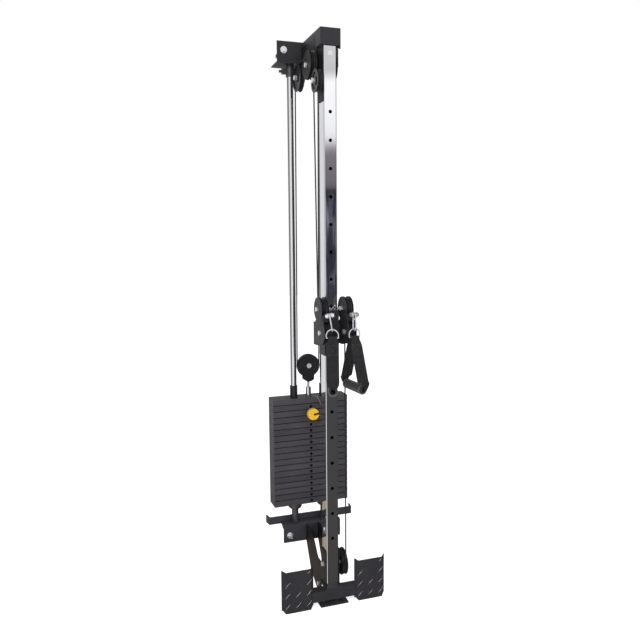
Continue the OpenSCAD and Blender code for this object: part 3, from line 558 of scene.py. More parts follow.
def smooth_group():
    """Geometry nodes: merge by distance, then mark edges whose faces meet at a small angle as
    smooth."""
    group = bpy.data.node_groups.new("merge_and_smooth", "GeometryNodeTree")
    group.interface.new_socket("Geometry", in_out="INPUT", socket_type="NodeSocketGeometry")
    group.interface.new_socket("Geometry", in_out="OUTPUT", socket_type="NodeSocketGeometry")
    add = node_adder(group)
    start = add("NodeGroupInput")
    merged = add("GeometryNodeMergeByDistance", Geometry=start, Distance=MERGE_WITHIN)
    faces = add("GeometryNodeSetShadeSmooth", {"domain": "FACE"}, Geometry=merged)
    faces.inputs["Shade Smooth"].default_value = True
    angle = add("GeometryNodeInputMeshEdgeAngle")
    small = add("FunctionNodeCompare", {"data_type": "FLOAT", "operation": "LESS_THAN"},
                in0=angle, in1=SMOOTH_BELOW)
    edges = add("GeometryNodeSetShadeSmooth", {"domain": "EDGE"}, Geometry=faces)
    join(group, edges.inputs["Shade Smooth"], small)
    add("NodeGroupOutput", Geometry=edges)
    return group


smoother = smooth_group()
FINISH = {
    "chrome": chrome, "frame_paint": powder_coat, "stack_paint": stack_paint, "zinc": zinc_plate,
    "black_plastic": black_plastic, "cable_nylon": cable_coat, "rubber": rubber,
    "grip_foam": grip_foam, "knob_yellow": grip_foam, "webbing": grip_foam, "lanyard_cord": rubber,
}
# The sleeve, lower bracket and stand-off bar get the paler coat as painted light, since they lie in
# shade.
OWN_FINISH = {"column": column_chrome, "rubber_bumpers": polished, "rod_spacers": polished,
              "sleeve": lit_paint, "lower_bracket": lit_paint, "standoff_bar": lit_paint,
              "side_plates": dark_paint, "pulley_hangers": dark_paint}
slot_of = {entry["node"]: entry["material_slot"] for entry in frame["record"]["subparts"]}
for name, node in nodes.items():
    node.data.materials.clear()
    node.data.materials.append(OWN_FINISH.get(name, FINISH[slot_of[name]]))
    node.modifiers.new("smooth", "NODES").node_group = smoother
print("dressed", len(nodes), "nodes")

# %% [markdown]
# ## Studio
#
# The object was shot on white and cut out, so the floor reads as white and keeps only a soft
# shadow. A camera ray that misses everything sees white. Mirror rays see a studio with dark flags,
# because chrome on pure white would look like nothing: the column mirrors a bright panel high up, a
# dark curtain at eye level and a dark room below. Three soft lamps light the matt surfaces.

# %% Floor
FLOOR_HALF = 14.0


def floor_finish():
    """A pale matt floor with a little light of its own for the camera, so that it reads white
    outside its shadow."""
    material, shader, add, place = new_tree("studio_floor")
    tone = mix(add, noise(add, place, 3.0), grey(0.80), grey(0.84))
    seen = add("ShaderNodeLightPath").outputs["Is Camera Ray"]
    look(shader, Base_Color=tone, Roughness=0.9, Emission_Color=grey(1.0),
         Emission_Strength=remap(add, seen, 0.0, 1.0, 0.0, 0.7))
    return material


floor_mesh = bpy.data.meshes.new("studio_floor")
corner = FLOOR_HALF * np.array([[-1, -1, 0], [1, -1, 0], [1, 1, 0], [-1, 1, 0]], float)
floor_mesh.from_pydata(corner.tolist(), [], [[0, 1, 2, 3]])
floor_mesh.materials.append(floor_finish())
studio_floor = linked("studio_floor", floor_mesh)
studio_floor.visible_glossy = False
print("floor", 2 * FLOOR_HALF, "m wide")

# %% World
PANELS = [(-180, 0.83), (-146, 0.83), (-138, 0.20), (-72, 0.22), (-62, 0.90), (-20, 0.98), (4, 0.9),
          (12, 0.5), (29, 0.045), (120, 0.04), (150, 0.35), (180, 0.83)]
WINDOW = (10, 13, 26, 29)
HEIGHTS = [(0.0, 0.065), (0.30, 0.075), (0.40, 0.07), (0.41, 0.065), (0.566, 0.07), (0.574, 0.012),
           (0.578, 0.18), (0.63, 0.24), (0.65, 1.1), (0.723, 1.25), (0.737, 0.66), (0.752, 0.76),
           (0.80, 0.8), (0.9, 1.1), (1.0, 1.1)]
ROSE = (1.04, 0.93, 1.05)
SMOKE = (-0.11, -0.07, 0.066, 0.070)


def rosy(level):
    """The levels just above the dark flag are a little rose, and all others are grey."""
    return (*(level * c for c in ROSE), 1.0) if 0.1 < level < 0.3 else grey(level)


def fade(add, value, start, full, last, end):
    """Nought up to start, one from full to last, and nought again past end."""
    return maths(add, "MULTIPLY", remap(add, value, start, full), remap(add, value, end, last))


def studio_world():
    """World light: white for the camera, an even soft grey for matt surfaces, and for mirror rays a
    studio of panels round the object. In a narrow window of bearings, which the column's front
    mirrors, the level follows the ray's height instead, with a smoky band near the horizon."""
    world = bpy.data.worlds.new("studio")
    world.use_nodes = True
    world.node_tree.nodes.clear()
    add = node_adder(world.node_tree)
    way = add("ShaderNodeTexCoord").outputs["Generated"]
    part = xyz(add, way)
    heights = [(at, rosy(level)) for at, level in HEIGHTS]
    ramp = level_ramp(add, remap(add, part[2], -0.5, 0.5), heights)
    cloud = noise(add, way, 14.0, 5.0, 0.6)
    smoky = mix(add, remap(add, cloud, 0.48, 0.68), (0.034, 0.033, 0.052, 1), (0.30, 0.31, 0.37, 1))
    band = fade(add, part[2], *SMOKE)
    ahead = mix(add, band, ramp, smoky)
    bearing = maths(add, "ARCTAN2", part[0], maths(add, "MULTIPLY", part[1], -1.0))
    around = level_ramp(add, remap(add, bearing, -math.pi, math.pi),
                        [(degrees / 360 + 0.5, grey(level)) for degrees, level in PANELS])
    warm = maths(add, "MULTIPLY", remap(add, part[2], -0.28, -0.36), remap(add, part[1], 0.5, 0.7))
    panelled = mix(add, warm, around, (0.42, 0.34, 0.25, 1))
    window = fade(add, bearing, *(math.radians(degrees) for degrees in WINDOW))
    path = add("ShaderNodeLightPath").outputs
    seen = mix(add, path["Is Glossy Ray"], grey(0.62), mix(add, window, panelled, ahead))
    shown = mix(add, path["Is Camera Ray"], seen, grey(1.0))
    background = add("ShaderNodeBackground", Color=shown, Strength=1.0)
    add("ShaderNodeOutputWorld", Surface=background)
    return world


bpy.context.scene.world = studio_world()
bpy.context.scene.view_settings.view_transform = "Standard"
print("world", len(PANELS), "panels round,", len(HEIGHTS), "levels up")

# %% Lamps


def soft_lamp(name, at, aim, size, power):
    """A square area lamp at one point that faces another. Mirrors don't show it, as the world is
    their studio."""
    data = bpy.data.lights.new(name, "AREA")
    data.size = size
    data.energy = power
    lamp = linked(name, data)
    back = unit(np.subtract(at, aim))
    right = unit(np.cross([0, 0, 1], back))
    lamp.matrix_world = stand(right, np.cross(back, right), back, at)
    lamp.visible_glossy = False


soft_lamp("key_lamp", (-2.6, -3.2, 3.4), (0, 0, 1.0), 2.0, 90)
soft_lamp("fill_lamp", (3.0, -3.0, 2.0), (0, 0, 1.1), 2.4, 40)
soft_lamp("front_lamp", (-0.3, -4.2, 1.5), (0, 0, 1.0), 1.2, 20)
print("lamps ready")

# %% [markdown]
# ## Cables
#
# One nylon-coated steel cable runs on each side: over two top pulleys, down to a guide or bottom
# pulley, and on to the carriage. The middle of both is one loop under the moving pulley. Its rest
# route is a chain of arcs and tangents, so the drawing's rule is repeated here with finer steps. A
# run that gets longer or shorter as the machine moves is its own piece. The run between a carriage
# pulley and its ball is 28.5 mm at rest and about a metre when the handle is pulled out; here it is
# drawn at rest, as a piece with no body.

# %% Cable routes
CABLE_R = 2.5
PLANE_X = 47.0
R_BIG, R_CAR, R_GUIDE = 47.0, 40.0, 37.0
REAR, FRONT, FRONT_RIGHT = (226, 2022), (80, 2034), (122, 2034)
GUIDE, BOTTOM = (8, 1964), (27.5, 148)
CAR_UP, CAR_LOW = (-25, 1153), (-55, 1070)
MOVING = (290, 887)
BALL = (-77.395, 1125.02)
BALL_R = 15.0
CLEARANCE = 0.4


def arc(x, centre, radius, start, end, steps=24):
    """Points of an arc in the plane x, from one angle to the other in degrees, measured from +Y
    towards +Z."""
    t = np.radians(np.linspace(start, end, steps))
    y, z = centre[0] + radius * np.cos(t), centre[1] + radius * np.sin(t)
    return np.stack([np.full(steps, float(x)), y, z], axis=1)


def heading(a, b):
    """Angle of the line from a to b, in degrees."""
    return math.degrees(math.atan2(b[1] - a[1], b[0] - a[0]))


def straight(a, b, steps=24):
    """Evenly spaced points from a to b."""
    a, b = np.asarray(a, float), np.asarray(b, float)
    return a + np.linspace(0, 1, steps)[:, None] * (b - a)


over_left = heading(FRONT, REAR) + 90
over_right = heading(FRONT_RIGHT, REAR) + 90
apart = math.hypot(GUIDE[0] - FRONT[0], GUIDE[1] - FRONT[1])
crossing = heading(FRONT, GUIDE) - math.degrees(math.acos((R_BIG + R_GUIDE) / apart)) + 360
top_left = np.vstack([arc(-PLANE_X, REAR, R_BIG, 0, over_left),
                      arc(-PLANE_X, FRONT, R_BIG, over_left, crossing, 30),
                      arc(-PLANE_X, GUIDE, R_GUIDE, crossing - 180, 0, 6)])
top_right = np.vstack([arc(PLANE_X, REAR, R_BIG, 0, over_right),
                       arc(PLANE_X, FRONT_RIGHT, R_BIG, over_right, 180),
                       arc(PLANE_X, BOTTOM, R_BIG, 0, -180, 40)])
loop = arc(MOVING[0], (0, MOVING[1]), R_BIG, 180, 360, 40)[:, [1, 0, 2]]


def exit_route(x, centre, start, sign):
    """The cable's turn on a carriage pulley to where it leaves for the ball, and its straight run
    to the ball. Sign tells the way round."""
    far = math.hypot(BALL[0] - centre[0], BALL[1] - centre[1])
    leave = heading(centre, BALL) + sign * math.degrees(math.acos(R_CAR / far))
    leave = (leave - start) % (-360 * sign) + start
    turn = arc(x, centre, R_CAR, start, leave, 20)
    toward = unit(turn[-1, 1:] - np.array(BALL))
    end = np.array([x, *(np.array(BALL) + (BALL_R + CLEARANCE) * toward)])
    return turn, straight(turn[-1], end, 60)


exit_left, pull_left = exit_route(-PLANE_X, CAR_UP, 0, 1)
exit_right, pull_right = exit_route(PLANE_X, CAR_LOW, 0, -1)
print("over left", round(over_left, 2), "crossing", round(crossing, 2))
print("ends", pull_left[-1].round(2), pull_right[-1].round(2))

# %% Cable pieces


def cable_piece(name, routes, body, replaced, side=(1, 0, 0)):
    """Cable tubes along one or more routes, as one piece that stands for a CAD node if one is
    named."""
    tubes = [tube_grid(drawing(route), CABLE_R * MM, 14, side) for route in routes]
    piece = add_piece(name, [grid_mesh(name, tube) for tube in tubes], cable_coat)
    if replaced:
        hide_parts(replaced)
    if body:
        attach(piece, body)
    return piece


cable_piece("top_cable", [top_left, top_right], "frame", "cable_top")
cable_piece("carriage_cable_ends", [exit_left, exit_right], "carriage", "cable_exits")
for side, run in (("left", pull_left), ("right", pull_right)):
    pulled = cable_piece(f"pull_run_{side}", [run], None, None)
    tuple(drawing(run[0]))
    tuple(drawing(run[-1]))
    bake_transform(pulled)
cable_piece("moving_loop", [loop], "lift", "cable_loop", (0, 1, 0))
lift_routes = [straight([x, REAR[0] + R_BIG, REAR[1]], [x, *MOVING]) for x in (-PLANE_X, PLANE_X)]
lift_runs = cable_piece("lift_runs", lift_routes, "frame", "cable_lift_runs")
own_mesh(lift_runs)

# %% Carriage runs
run_down = [[-PLANE_X, GUIDE[0] + R_GUIDE, GUIDE[1]], [-PLANE_X, CAR_UP[0] + R_CAR, CAR_UP[1]]]
run_up = [[PLANE_X, BOTTOM[0] - R_BIG, BOTTOM[1]], [PLANE_X, CAR_LOW[0] + R_CAR, CAR_LOW[1]]]
for name, run, replaced in (("carriage_run_down", run_down, "cable_down"),
                            ("carriage_run_up", run_up, "cable_up")):
    piece = cable_piece(name, [straight(*run, 40)], None, replaced)
    tuple(drawing(run[0]))
    tuple(drawing(run[1]))
    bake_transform(piece)
    print(name, round(run[0][2] - run[1][2]), "mm down")

# %% [markdown]
# ## Handle frames
#
# Each handle hangs from a snap hook and is turned a little about the plumb line. Its own frame has
# X across the webbing, Y along the grip and Z up, and starts at the middle of the ring's straight
# bar. All the soft pieces of a handle are drawn there once and placed twice.

# %% Handle places
HANDLES = {
    "left": {"bar": [-38.386, -115.966, 1058.057], "turn": -19.0},
    "right": {"bar": [47.0, -113.0, 1057.3], "turn": 6.0},
}
DROP = 180.5
GRIP_HALF = 62.0


def handle_place(side, points):
    """Points of the handle's own frame, turned about the plumb line by the handle's turn and moved
    to its bar."""
    turn = math.radians(HANDLES[side]["turn"])
    c, s = math.cos(turn), math.sin(turn)
    x, y, z = np.moveaxis(np.asarray(points, float), -1, 0)
    turned = np.stack([c * x - s * y, s * x + c * y, z], axis=-1)
    return drawing(turned + np.array(HANDLES[side]["bar"]))


print("grip centres", [handle_place(side, [0, 0, -DROP]).round(4) for side in HANDLES])

# %% [markdown]
# ## Webbing
#
# A handle's strap is one loop of nylon webbing. It goes over the ring's bar, down two legs and
# through the hollow grip, where it has to curl up to fit the bore. The ribbon is a closed path with
# a flat section whose sides bend round an arc: the curl is nought on the legs and reaches the
# bore's radius at the mouth of the grip.

# %% Webbing finish
WEB_ROW = 1.6 * MM
WEB_PICK = 2.4 * MM


def webbing_finish():
    """Ribs along the strap, each a row of short floats whose places alternate from rib to rib. U
    runs along the strap and V across it, both in metres."""
    material, shader, add, place = new_tree("nylon_webbing")
    part = own_map(add)

    def ridge(angle, power):
        """A row of rounded ridges: the size of the angle's sine, raised to a power."""
        return maths(add, "POWER", maths(add, "ABSOLUTE", maths(add, "SINE", angle)), power)

    row = maths(add, "FLOOR", maths(add, "DIVIDE", part[1], WEB_ROW))
    shift = maths(add, "MULTIPLY", maths(add, "MODULO", maths(add, "ABSOLUTE", row), 2.0), 0.5)
    along = maths(add, "ADD", maths(add, "DIVIDE", part[0], WEB_PICK), shift)
    height = maths(add, "MULTIPLY", ridge(maths(add, "MULTIPLY", part[1], math.pi / WEB_ROW), 0.5),
                   ridge(maths(add, "MULTIPLY", along, math.pi), 0.4))
    fibres = maths(add, "MULTIPLY", noise(add, place, 2600.0, 2.0), 0.25)
    level = maths(add, "MULTIPLY_ADD", height, 0.75, fibres)
    wear = remap(add, noise(add, place, 45.0, 5.0), 0.35, 0.7)
    light = mix(add, wear, (0.018, 0.016, 0.018, 1), (0.030, 0.027, 0.031, 1))
    look(shader, Base_Color=mix(add, level, grey(0.006), light), Roughness=0.62,
         Specular_IOR_Level=0.2, Sheen_Weight=0.15)
    bump(add, shader, level, 0.0004)
    return material


nylon_webbing = webbing_finish()
thread = moulded("bonded_thread", (0.05, 0.05, 0.052, 1), 0.5, 2500.0, 0.00003, sheen=0.2)
print("webbing", WEB_ROW / MM, "mm ribs")

# %% Webbing shape
WEB_T = 2.6
WEB_HALF = 22.5
BAR_HALF = 17.0
BAR_BEND = 3.8
MOUTH_BEND = 7.0
MOUTH_Y = GRIP_HALF - 2.8
BORE_TOP = -170.5
CURL_R = 9.7
WIDENS = (6, 30)
CURLS = (26, 2)
NO_CURL = 1e-5
EDGE_POWER = 16
V_SHIFT = 100.0


def half_loop(steps=150):
    """Half of the strap's middle line in (Y, Z), from above the bar to the grip's middle: an arc
    over the bar, the tangent leg, an arc into the grip's mouth and a straight run. It is resampled
    at even steps of length."""
    mouth = np.array([-MOUTH_Y, BORE_TOP + MOUTH_BEND])
    foot = mouth - [MOUTH_BEND, 0]
    slope = math.atan2(foot[1], foot[0] + BAR_BEND)
    over = np.linspace(math.pi / 2, slope + math.pi * 1.5, 14)
    bend = BAR_BEND * np.stack([np.cos(over), np.sin(over)], axis=1)
    into = np.linspace(math.pi, math.pi * 1.5, 20)
    turn = mouth + MOUTH_BEND * np.stack([np.cos(into), np.sin(into)], axis=1)
    line = np.vstack([bend, foot + [0.0, 5.0], turn, [0.0, BORE_TOP]])
    length = np.concatenate([[0], np.cumsum(np.linalg.norm(np.diff(line, axis=0), axis=1))])
    even = np.linspace(0, length[-1], steps)
    return np.stack([np.interp(even, length, line[:, k]) for k in (0, 1)], axis=1), even


def smooth_step(x, low, high):
    """Nought below low, one above high, and an S curve between."""
    t = np.clip((np.asarray(x, float) - low) / (high - low), 0, 1)
    return t * t * (3 - 2 * t)


def strap_surface(across=30):
    """The strap as a grid. Each point of the loop has a flat section with rounded edges, s along X
    and h along the loop's inner normal N. A curl k bends it to an arc about the point -N/k: its
    points are (1/k + h) times sin(ks) X + cos(ks) N, from there."""
    half, length = half_loop()
    line = np.vstack([half, half[-2:0:-1] * [-1, 1]])
    run = np.concatenate([length, 2 * length[-1] - length[-2:0:-1]])
    step = unit(np.roll(line, -1, axis=0) - np.roll(line, 1, axis=0))
    inner = np.stack([-step[:, 1], step[:, 0]], axis=1)
    wide = BAR_HALF + (WEB_HALF - BAR_HALF) * smooth_step(-line[:, 1], *WIDENS)
    from_top = np.where(run <= length[-1], run, 2 * length[-1] - run)
    to_mouth = length[-1] - MOUTH_Y - from_top
    curl = smooth_step(-to_mouth, *np.negative(CURLS)) / CURL_R
    rim = np.linspace(-1, 1, across)
    edge = np.sqrt(np.clip(1 - np.abs(rim) ** EDGE_POWER, 0, 1)) * 0.5 * WEB_T
    s = np.concatenate([rim, rim[::-1]]) * wide[:, None]
    h = np.concatenate([edge, -edge[::-1]])
    k = np.maximum(curl, NO_CURL)[:, None]
    x = (1 / k + h) * np.sin(k * s)
    n = (1 / k + h) * np.cos(k * s) - 1 / k
    grid = np.stack([x, line[:, :1] + n * inner[:, :1], line[:, 1:] + n * inner[:, 1:]], axis=-1)
    uv = np.stack([np.broadcast_to(run[:, None], s.shape), s + V_SHIFT], axis=-1) * MM
    return grid, uv, line


strap_grid, strap_uv, strap_line = strap_surface()
for side in HANDLES:
    points = handle_place(side, strap_grid)
    mesh = grid_mesh(f"webbing_{side}", points, wrap_rows=True, uv=strap_uv)
    strap = add_piece(f"webbing_{side}", mesh, nylon_webbing)
    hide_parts(f"strap_{side}")
    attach(strap, f"handle_{side}")

# %% [markdown]
# ## Stitches
#
# The webbing's two ends overlap on one leg and are sewn there with a box and a cross. Each stitch
# is a short raised thread that dips into the webbing at both ends, so it is a little tube along an
# arch.

# %% Box-and-cross stitches
STITCH, STITCH_GAP, THREAD_R = 3.0, 1.0, 0.38
SUNK, ARCH = 0.25, 0.55


def stitch_lines():
    """Ends of the stitch rows, in (across, down) millimetres on the leg: a box, and the cross
    inside it."""
    a, top, low = 17.0, 26.0, 58.0
    box = [(-a, top), (a, top), (a, low), (-a, low)]
    return list(zip(box, box[1:] + box[:1])) + [(box[0], box[2]), (box[1], box[3])]


def stitch_grids():
    """One small tube for each stitch: an arch over the webbing's face that dips into it at both
    ends."""
    leg = strap_line[(strap_line[:, 0] < 0) & (strap_line[:, 1] < -8) & (strap_line[:, 1] > -150)]
    leg = leg[np.argsort(-leg[:, 1])]
    away = unit([leg[-1, 1] - leg[0, 1], leg[0, 0] - leg[-1, 0]])
    grids = []
    arch = np.linspace(0, 1, 7)
    for (x0, d0), (x1, d1) in stitch_lines():
        span = math.hypot(x1 - x0, d1 - d0)
        count = int(span // (STITCH + STITCH_GAP))
        for start in (np.arange(count) + 0.125) / count:
            t = start + arch * STITCH / span
            down = -(d0 + t * (d1 - d0))
            middle = np.interp(-down, -leg[:, 1], leg[:, 0])
            lift = 0.5 * WEB_T - SUNK + ARCH * np.sin(np.pi * arch)
            across = x0 + t * (x1 - x0)
            path = np.stack([across, middle + lift * away[0], down + lift * away[1]], axis=1)
            grids.append(tube_grid(path, THREAD_R, 6, (0.0, *away)))
    return grids


for side in HANDLES:
    rows = [grid_mesh("stitch", handle_place(side, grid)) for grid in stitch_grids()]
    stitches = add_piece(f"stitches_{side}", rows, thread)
    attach(stitches, f"handle_{side}")

# %% [markdown]
# ## Grips
#
# A grip is a foam sleeve on a plastic tube, with a moulded cap at each end. All three are turned
# shapes, so each is a closed profile carried round the grip's axis. The foam is a shade barrelled,
# as foam is between two caps.

# %% Foam sleeve and end caps
BORE = 11.5
FOAM_HALF, FOAM_R, CROWN = 57.0, 16.9, 0.55
# Paler than the other black plastic: partly painted highlight for the bright ring at each grip's
# end.
cap_plastic = moulded("cap_plastic", (0.085, 0.085, 0.09, 1), 0.24, 500.0, 0.00002)


def foam_profile():
    """Closed outline (along the axis, radius): a crowned outside, rounded ends, and a plain
    inside."""
    z = np.linspace(-FOAM_HALF, FOAM_HALF, 60)
    outside = FOAM_R + CROWN * (1 - (z / FOAM_HALF) ** 2) + 0.12 * np.sin(z * 0.9)
    outside[[0, -1]] -= 1.0
    outside[[1, -2]] -= 0.25
    inside = np.stack([z[::-1], np.full(60, BORE + 1.6)], axis=1)
    return np.vstack([np.stack([z, outside], axis=1), inside])


def cap_profile(end):
    """Closed outline of one end cap with a rounded lip and the tube's mouth, from the foam's end to
    the tip."""
    lip = np.radians(np.linspace(0, 90, 8))
    outer = np.stack([60.2 + 1.8 * np.sin(lip), 16.2 + 1.8 * np.cos(lip)], axis=1)
    mouth = np.stack([60.8 + 1.2 * np.cos(lip), BORE + 1.3 - 1.2 * np.sin(lip)], axis=1)
    outline = np.vstack([[[56.6, BORE + 0.1], [56.6, 16.2], [57.2, 18.0]], outer, mouth])
    return outline * [end, 1.0]


def grip_ring(name, side, profile):
    """A closed outline carried round one grip's axis."""
    ring = turned_grid(profile, np.array([0.0, 0.0, -DROP]), [0, 1, 0], 72)
    return grid_mesh(name, handle_place(side, ring), wrap_rows=True)


for side in HANDLES:
    name = f"grip_foam_{side}"
    sleeve = add_piece(name, grip_ring(name, side, foam_profile()), grip_foam)
    caps = [grip_ring("cap", side, cap_profile(end)) for end in (-1, 1)]
    tips = add_piece(f"grip_caps_{side}", caps, cap_plastic)
    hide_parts(f"grip_{side}")
    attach(sleeve, f"hand_{side}")
    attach(tips, f"hand_{side}")

# %% [markdown]
# ## Selector pin
#
# The weight is picked by a steel pin with a round yellow knob. The knob has a finger slot from its
# middle to the rim. The knob is a turned grid with many rings, and the slot is cut by pushing every
# point inside it back to the slot's floor.

# %% Knob and shaft
PIN_Z = 693.6
SLOT_HALF = 4.6
SLOT_FLOOR = 15.0
SLOT_TURN = math.radians(-8)
KNOB_Y = 216.0
KNOB_FACE_R, KNOB_SIDE_R = 18.2, 23.9


def knob_grid(sides=320):
    """The knob's profile round the pin's axis, from the middle of its face over the rim to its
    back, with the points inside the slot moved to the slot's depth. The map's U is one inside the
    slot, where the finish paints shade."""
    face = np.linspace(0.2, KNOB_FACE_R, 70)
    dish = 0.9 * (1 - (face / KNOB_FACE_R) ** 2)
    lip = np.radians(np.linspace(0, 90, 14))
    rim = np.stack([5.4 - 5.4 * np.cos(lip), KNOB_FACE_R + 5.6 * np.sin(lip)], axis=1)
    waist = KNOB_SIDE_R - 0.15 * np.cos(np.linspace(0, 9, 30))
    side_wall = np.stack([np.linspace(5.6, 20.0, 30), waist], axis=1)
    back = [[22.5, 23.2], [25.0, 21.6], [29.0, 16.5], [33.0, 10.8]]
    profile = np.vstack([np.stack([dish, face], axis=1), rim, side_wall, back])
    a = np.linspace(0, 2 * np.pi, sides, endpoint=False)
    x, z = profile[:, 1:] * np.cos(a), profile[:, 1:] * np.sin(a)
    u = x * math.cos(SLOT_TURN) - z * math.sin(SLOT_TURN)
    v = x * math.sin(SLOT_TURN) + z * math.cos(SLOT_TURN)
    inside = smooth_step(-np.abs(v), -SLOT_HALF, -SLOT_HALF + 0.7) * smooth_step(u, 0.0, 1.6)
    y = profile[:, :1] + inside * np.maximum(SLOT_FLOOR - profile[:, :1], 0)
    return np.stack([x, KNOB_Y + y, PIN_Z + z], axis=-1), np.stack([inside, 0 * inside], axis=-1)


def knob_finish():
    """The yellow plastic, with painted shade where the slot's walls and floor are."""
    material = moulded("knob_plastic", (0.83, 0.47, 0.025, 1), 0.24, 300.0, 0.00004)
    add = node_adder(material.node_tree)
    shader = next(n for n in material.node_tree.nodes if n.type == "BSDF_PRINCIPLED")
    yellow = shader.inputs["Base Color"].links[0].from_socket
    slot = remap(add, own_map(add)[0], 0.08, 0.5)
    # Painted shade: the slot's walls and floor are made a dark brown.
    look(shader, Base_Color=mix(add, slot, yellow, (0.03, 0.016, 0.006, 1)))
    return material


knob_points, knob_uv = knob_grid()
knob_mesh = grid_mesh("selector_knob", drawing(knob_points), uv=knob_uv)
knob = add_piece("selector_knob", knob_mesh, knob_finish())
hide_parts("selector_pin")
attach(knob, "pin")
shaft_profile = [[0.0, 8.0], [0.6, 8.7], [5.2, 8.7], [6.0, 8.0], [6.1, 4.6],
                 [48.0, 4.6], [50.2, 3.2], [50.4, 2.0]]
shaft_grid = turned_grid(shaft_profile, np.array([0.0, 248.6, PIN_Z]), [0, 1, 0], 48)
shaft = add_piece("selector_shaft", grid_mesh("selector_shaft", drawing(shaft_grid)), zinc_plate)
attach(shaft, "pin")

# %% [markdown]
# ## Lanyard
#
# A thin braided cord ties the pin to the top plate, so that it isn't lost. It starts beside the
# stem, falls over the plate's edge, hangs behind the column and ends in a loop round the pin's
# collar. The points are those of the drawing, rounded by a spline into one smooth curve.

# %% Cord from the top plate to the pin
LANYARD_R, CORD_SIDES = 1.2, 12
STRANDS, LAYS_PER_METRE = 4.0, 520.0
LANYARD = [[11, 281, 758.6], [14, 274, 760.4], [19, 265, 761], [24, 257, 760], [28.5, 253.2, 755],
           [34.5, 252.4, 743], [41.5, 252, 729], [48, 252, 714.5], [52, 252, 701], [51, 252, 689],
           [44, 252, 681], [34, 252, 678.5], [23, 252, 680.5], [13, 252, 682.8]]
COLLAR_R, COLLAR_Y = 10.6, 252
step_number = np.arange(11)
collar_turn = np.radians(-75 - 28 * step_number)
collar_loop = np.stack([COLLAR_R * np.cos(collar_turn), COLLAR_Y + 0.05 * step_number,
                        PIN_Z + COLLAR_R * np.sin(collar_turn)], axis=1)
print("lanyard", len(LANYARD), "points and", len(collar_loop), "round the collar")

# %% Cord curve and braid


def smooth_path(points, per_span=6):
    """A Catmull-Rom curve through the points: each span blends its four neighbours by the usual
    cubic weights."""
    p = np.asarray(points, float)
    p = np.vstack([2 * p[0] - p[1], p, 2 * p[-1] - p[-2]])
    t = np.linspace(0, 1, per_span, endpoint=False)[:, None, None]
    a, b, c, d = p[:-3], p[1:-2], p[2:-1], p[3:]
    square, cube = 2 * a - 5 * b + 4 * c - d, 3 * b - a - 3 * c + d
    spans = 0.5 * (2 * b + (c - a) * t + square * t ** 2 + cube * t ** 3)
    return np.vstack([spans.transpose(1, 0, 2).reshape(-1, 3), p[-2]])


def braid_finish():
    """Braided cord: two slanted waves crossing on the cord's own map, V round it and U along it."""
    material, shader, add = new_tree("braided_cord")[:3]
    part = own_map(add)
    along = maths(add, "MULTIPLY", part[0], LAYS_PER_METRE)

    def slant(strands):
        """A wave that winds round the cord, to one side or the other."""
        turns = maths(add, "MULTIPLY_ADD", part[1], strands, along)
        return maths(add, "SINE", maths(add, "MULTIPLY", turns, 2 * math.pi))

    plait = maths(add, "MULTIPLY", slant(STRANDS), slant(-STRANDS))
    level = remap(add, plait, -1.0, 1.0)
    look(shader, Base_Color=mix(add, level, grey(0.10), (0.34, 0.34, 0.35, 1)), Roughness=0.6,
         Sheen_Weight=0.2)
    bump(add, shader, level, 0.00015)
    return material


lanyard_path = drawing(smooth_path(np.vstack([LANYARD, collar_loop])))
lanyard_length = float(np.linalg.norm(np.diff(lanyard_path, axis=0), axis=1).sum())
lanyard_grid = tube_grid(lanyard_path, LANYARD_R * MM, CORD_SIDES, (0, 1, 0.2))
lanyard_uv = np.stack(np.meshgrid(np.linspace(0, lanyard_length, len(lanyard_path)),
                                  np.arange(CORD_SIDES) / CORD_SIDES, indexing="ij"), axis=-1)
lanyard_mesh = grid_mesh("lanyard_cord", lanyard_grid, uv=lanyard_uv)
lanyard = add_piece("lanyard_cord", lanyard_mesh, braid_finish())
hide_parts("lanyard")
tuple(drawing([24, 254, 757]))
tuple(drawing([24, 254, 706]))
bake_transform(lanyard)
print("lanyard", round(lanyard_length / MM), "mm")
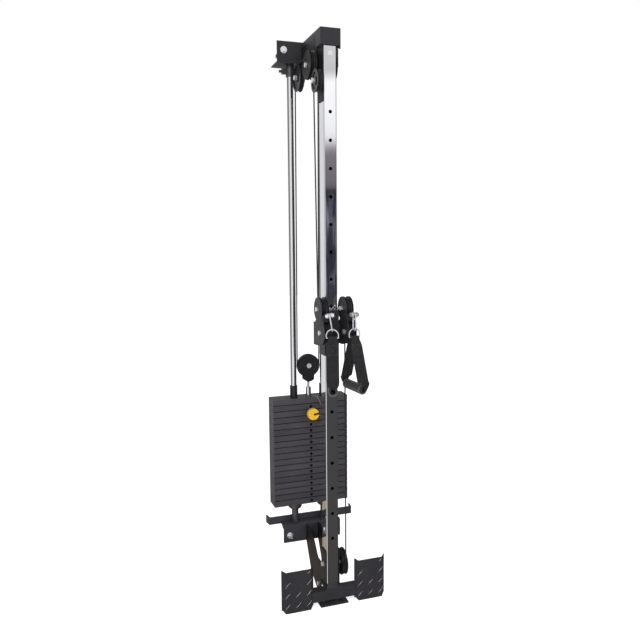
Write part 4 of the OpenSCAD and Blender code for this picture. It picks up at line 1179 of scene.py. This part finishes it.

# %% [markdown]
# ## Bolt caps and tread bars
#
# The moving pulley turns on a bolt with a bright flanged head at each side. The foot plates carry
# raised bars, and each bar's crest gets a thin strip of bright zinc-plate metal: partly paint
# rubbed off by feet, and partly a painted highlight where each crest catches the light.

# %% Bolt caps on the moving pulley
HEAD = [[0.0, 10.6], [1.2, 11.0], [1.8, 10.4], [4.6, 9.9], [6.2, 9.2], [6.9, 7.6], [7.0, 4.2],
        [6.2, 3.6], [6.2, 0.6]]
BOLT_HALF = 14.0


def bolt_cap(way):
    """The bolt's head in front of the moving pulley (way -1) or behind it (way 1)."""
    middle = np.array([0.0, MOVING[0] + way * BOLT_HALF, MOVING[1]])
    return grid_mesh("bolt_cap", drawing(turned_grid(HEAD, middle, [0, way, 0], 48)))


bolt_caps = add_piece("moving_bolt_caps", [bolt_cap(-1), bolt_cap(1)], zinc_plate)
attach(bolt_caps, "lift")

# %% Tread bars: painted highlight and rubbed paint on each crest
PLATE_IN, PLATE_W, PLATE_Y = 98.0, 99.0, -27.0
BAR_PITCH, BAR_LOW, BAR_HALF_LENGTH = 43, 28, 14.5
CREST_STANDS = 1.15


def crest(x, z, half):
    """A strip that rises to the right by 45 degrees and stands out most in its middle: its depth
    follows the root of a parabola, and its width falls to the ends in the same way."""
    t = np.linspace(-1, 1, 17)
    swell = np.sqrt(np.clip(1 - t ** 2, 0, 1))
    rise = half * t * math.sqrt(0.5)
    path = np.stack([x + rise, np.full(17, PLATE_Y), z + rise], axis=1)
    grid = tube_grid(path, 0.25 + 0.5 * swell, 10, (0, 1, 0))
    grid[..., 1] = PLATE_Y + (grid[..., 1] - PLATE_Y) * 0.5 - CREST_STANDS * swell[:, None]
    return grid_mesh("crest", drawing(grid))


bars = [(PLATE_W / 2 + (i - 1) * BAR_PITCH, BAR_LOW + j * BAR_PITCH, BAR_HALF_LENGTH)
        for i in range(3) for j in range(3) if (i, j) != (1, 2)]
bars += [(PLATE_W / 2 + 41, 153, 9.0)]
strips = [crest(left + x, z, half) for left in (PLATE_IN, -PLATE_IN - PLATE_W)
          for x, z, half in bars]
# Painted highlight and rubbed paint: a bright zinc strip on each tread bar's crest.
crest_highlights = add_piece("tread_crest_highlights", strips, zinc_plate)
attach(crest_highlights, "frame")
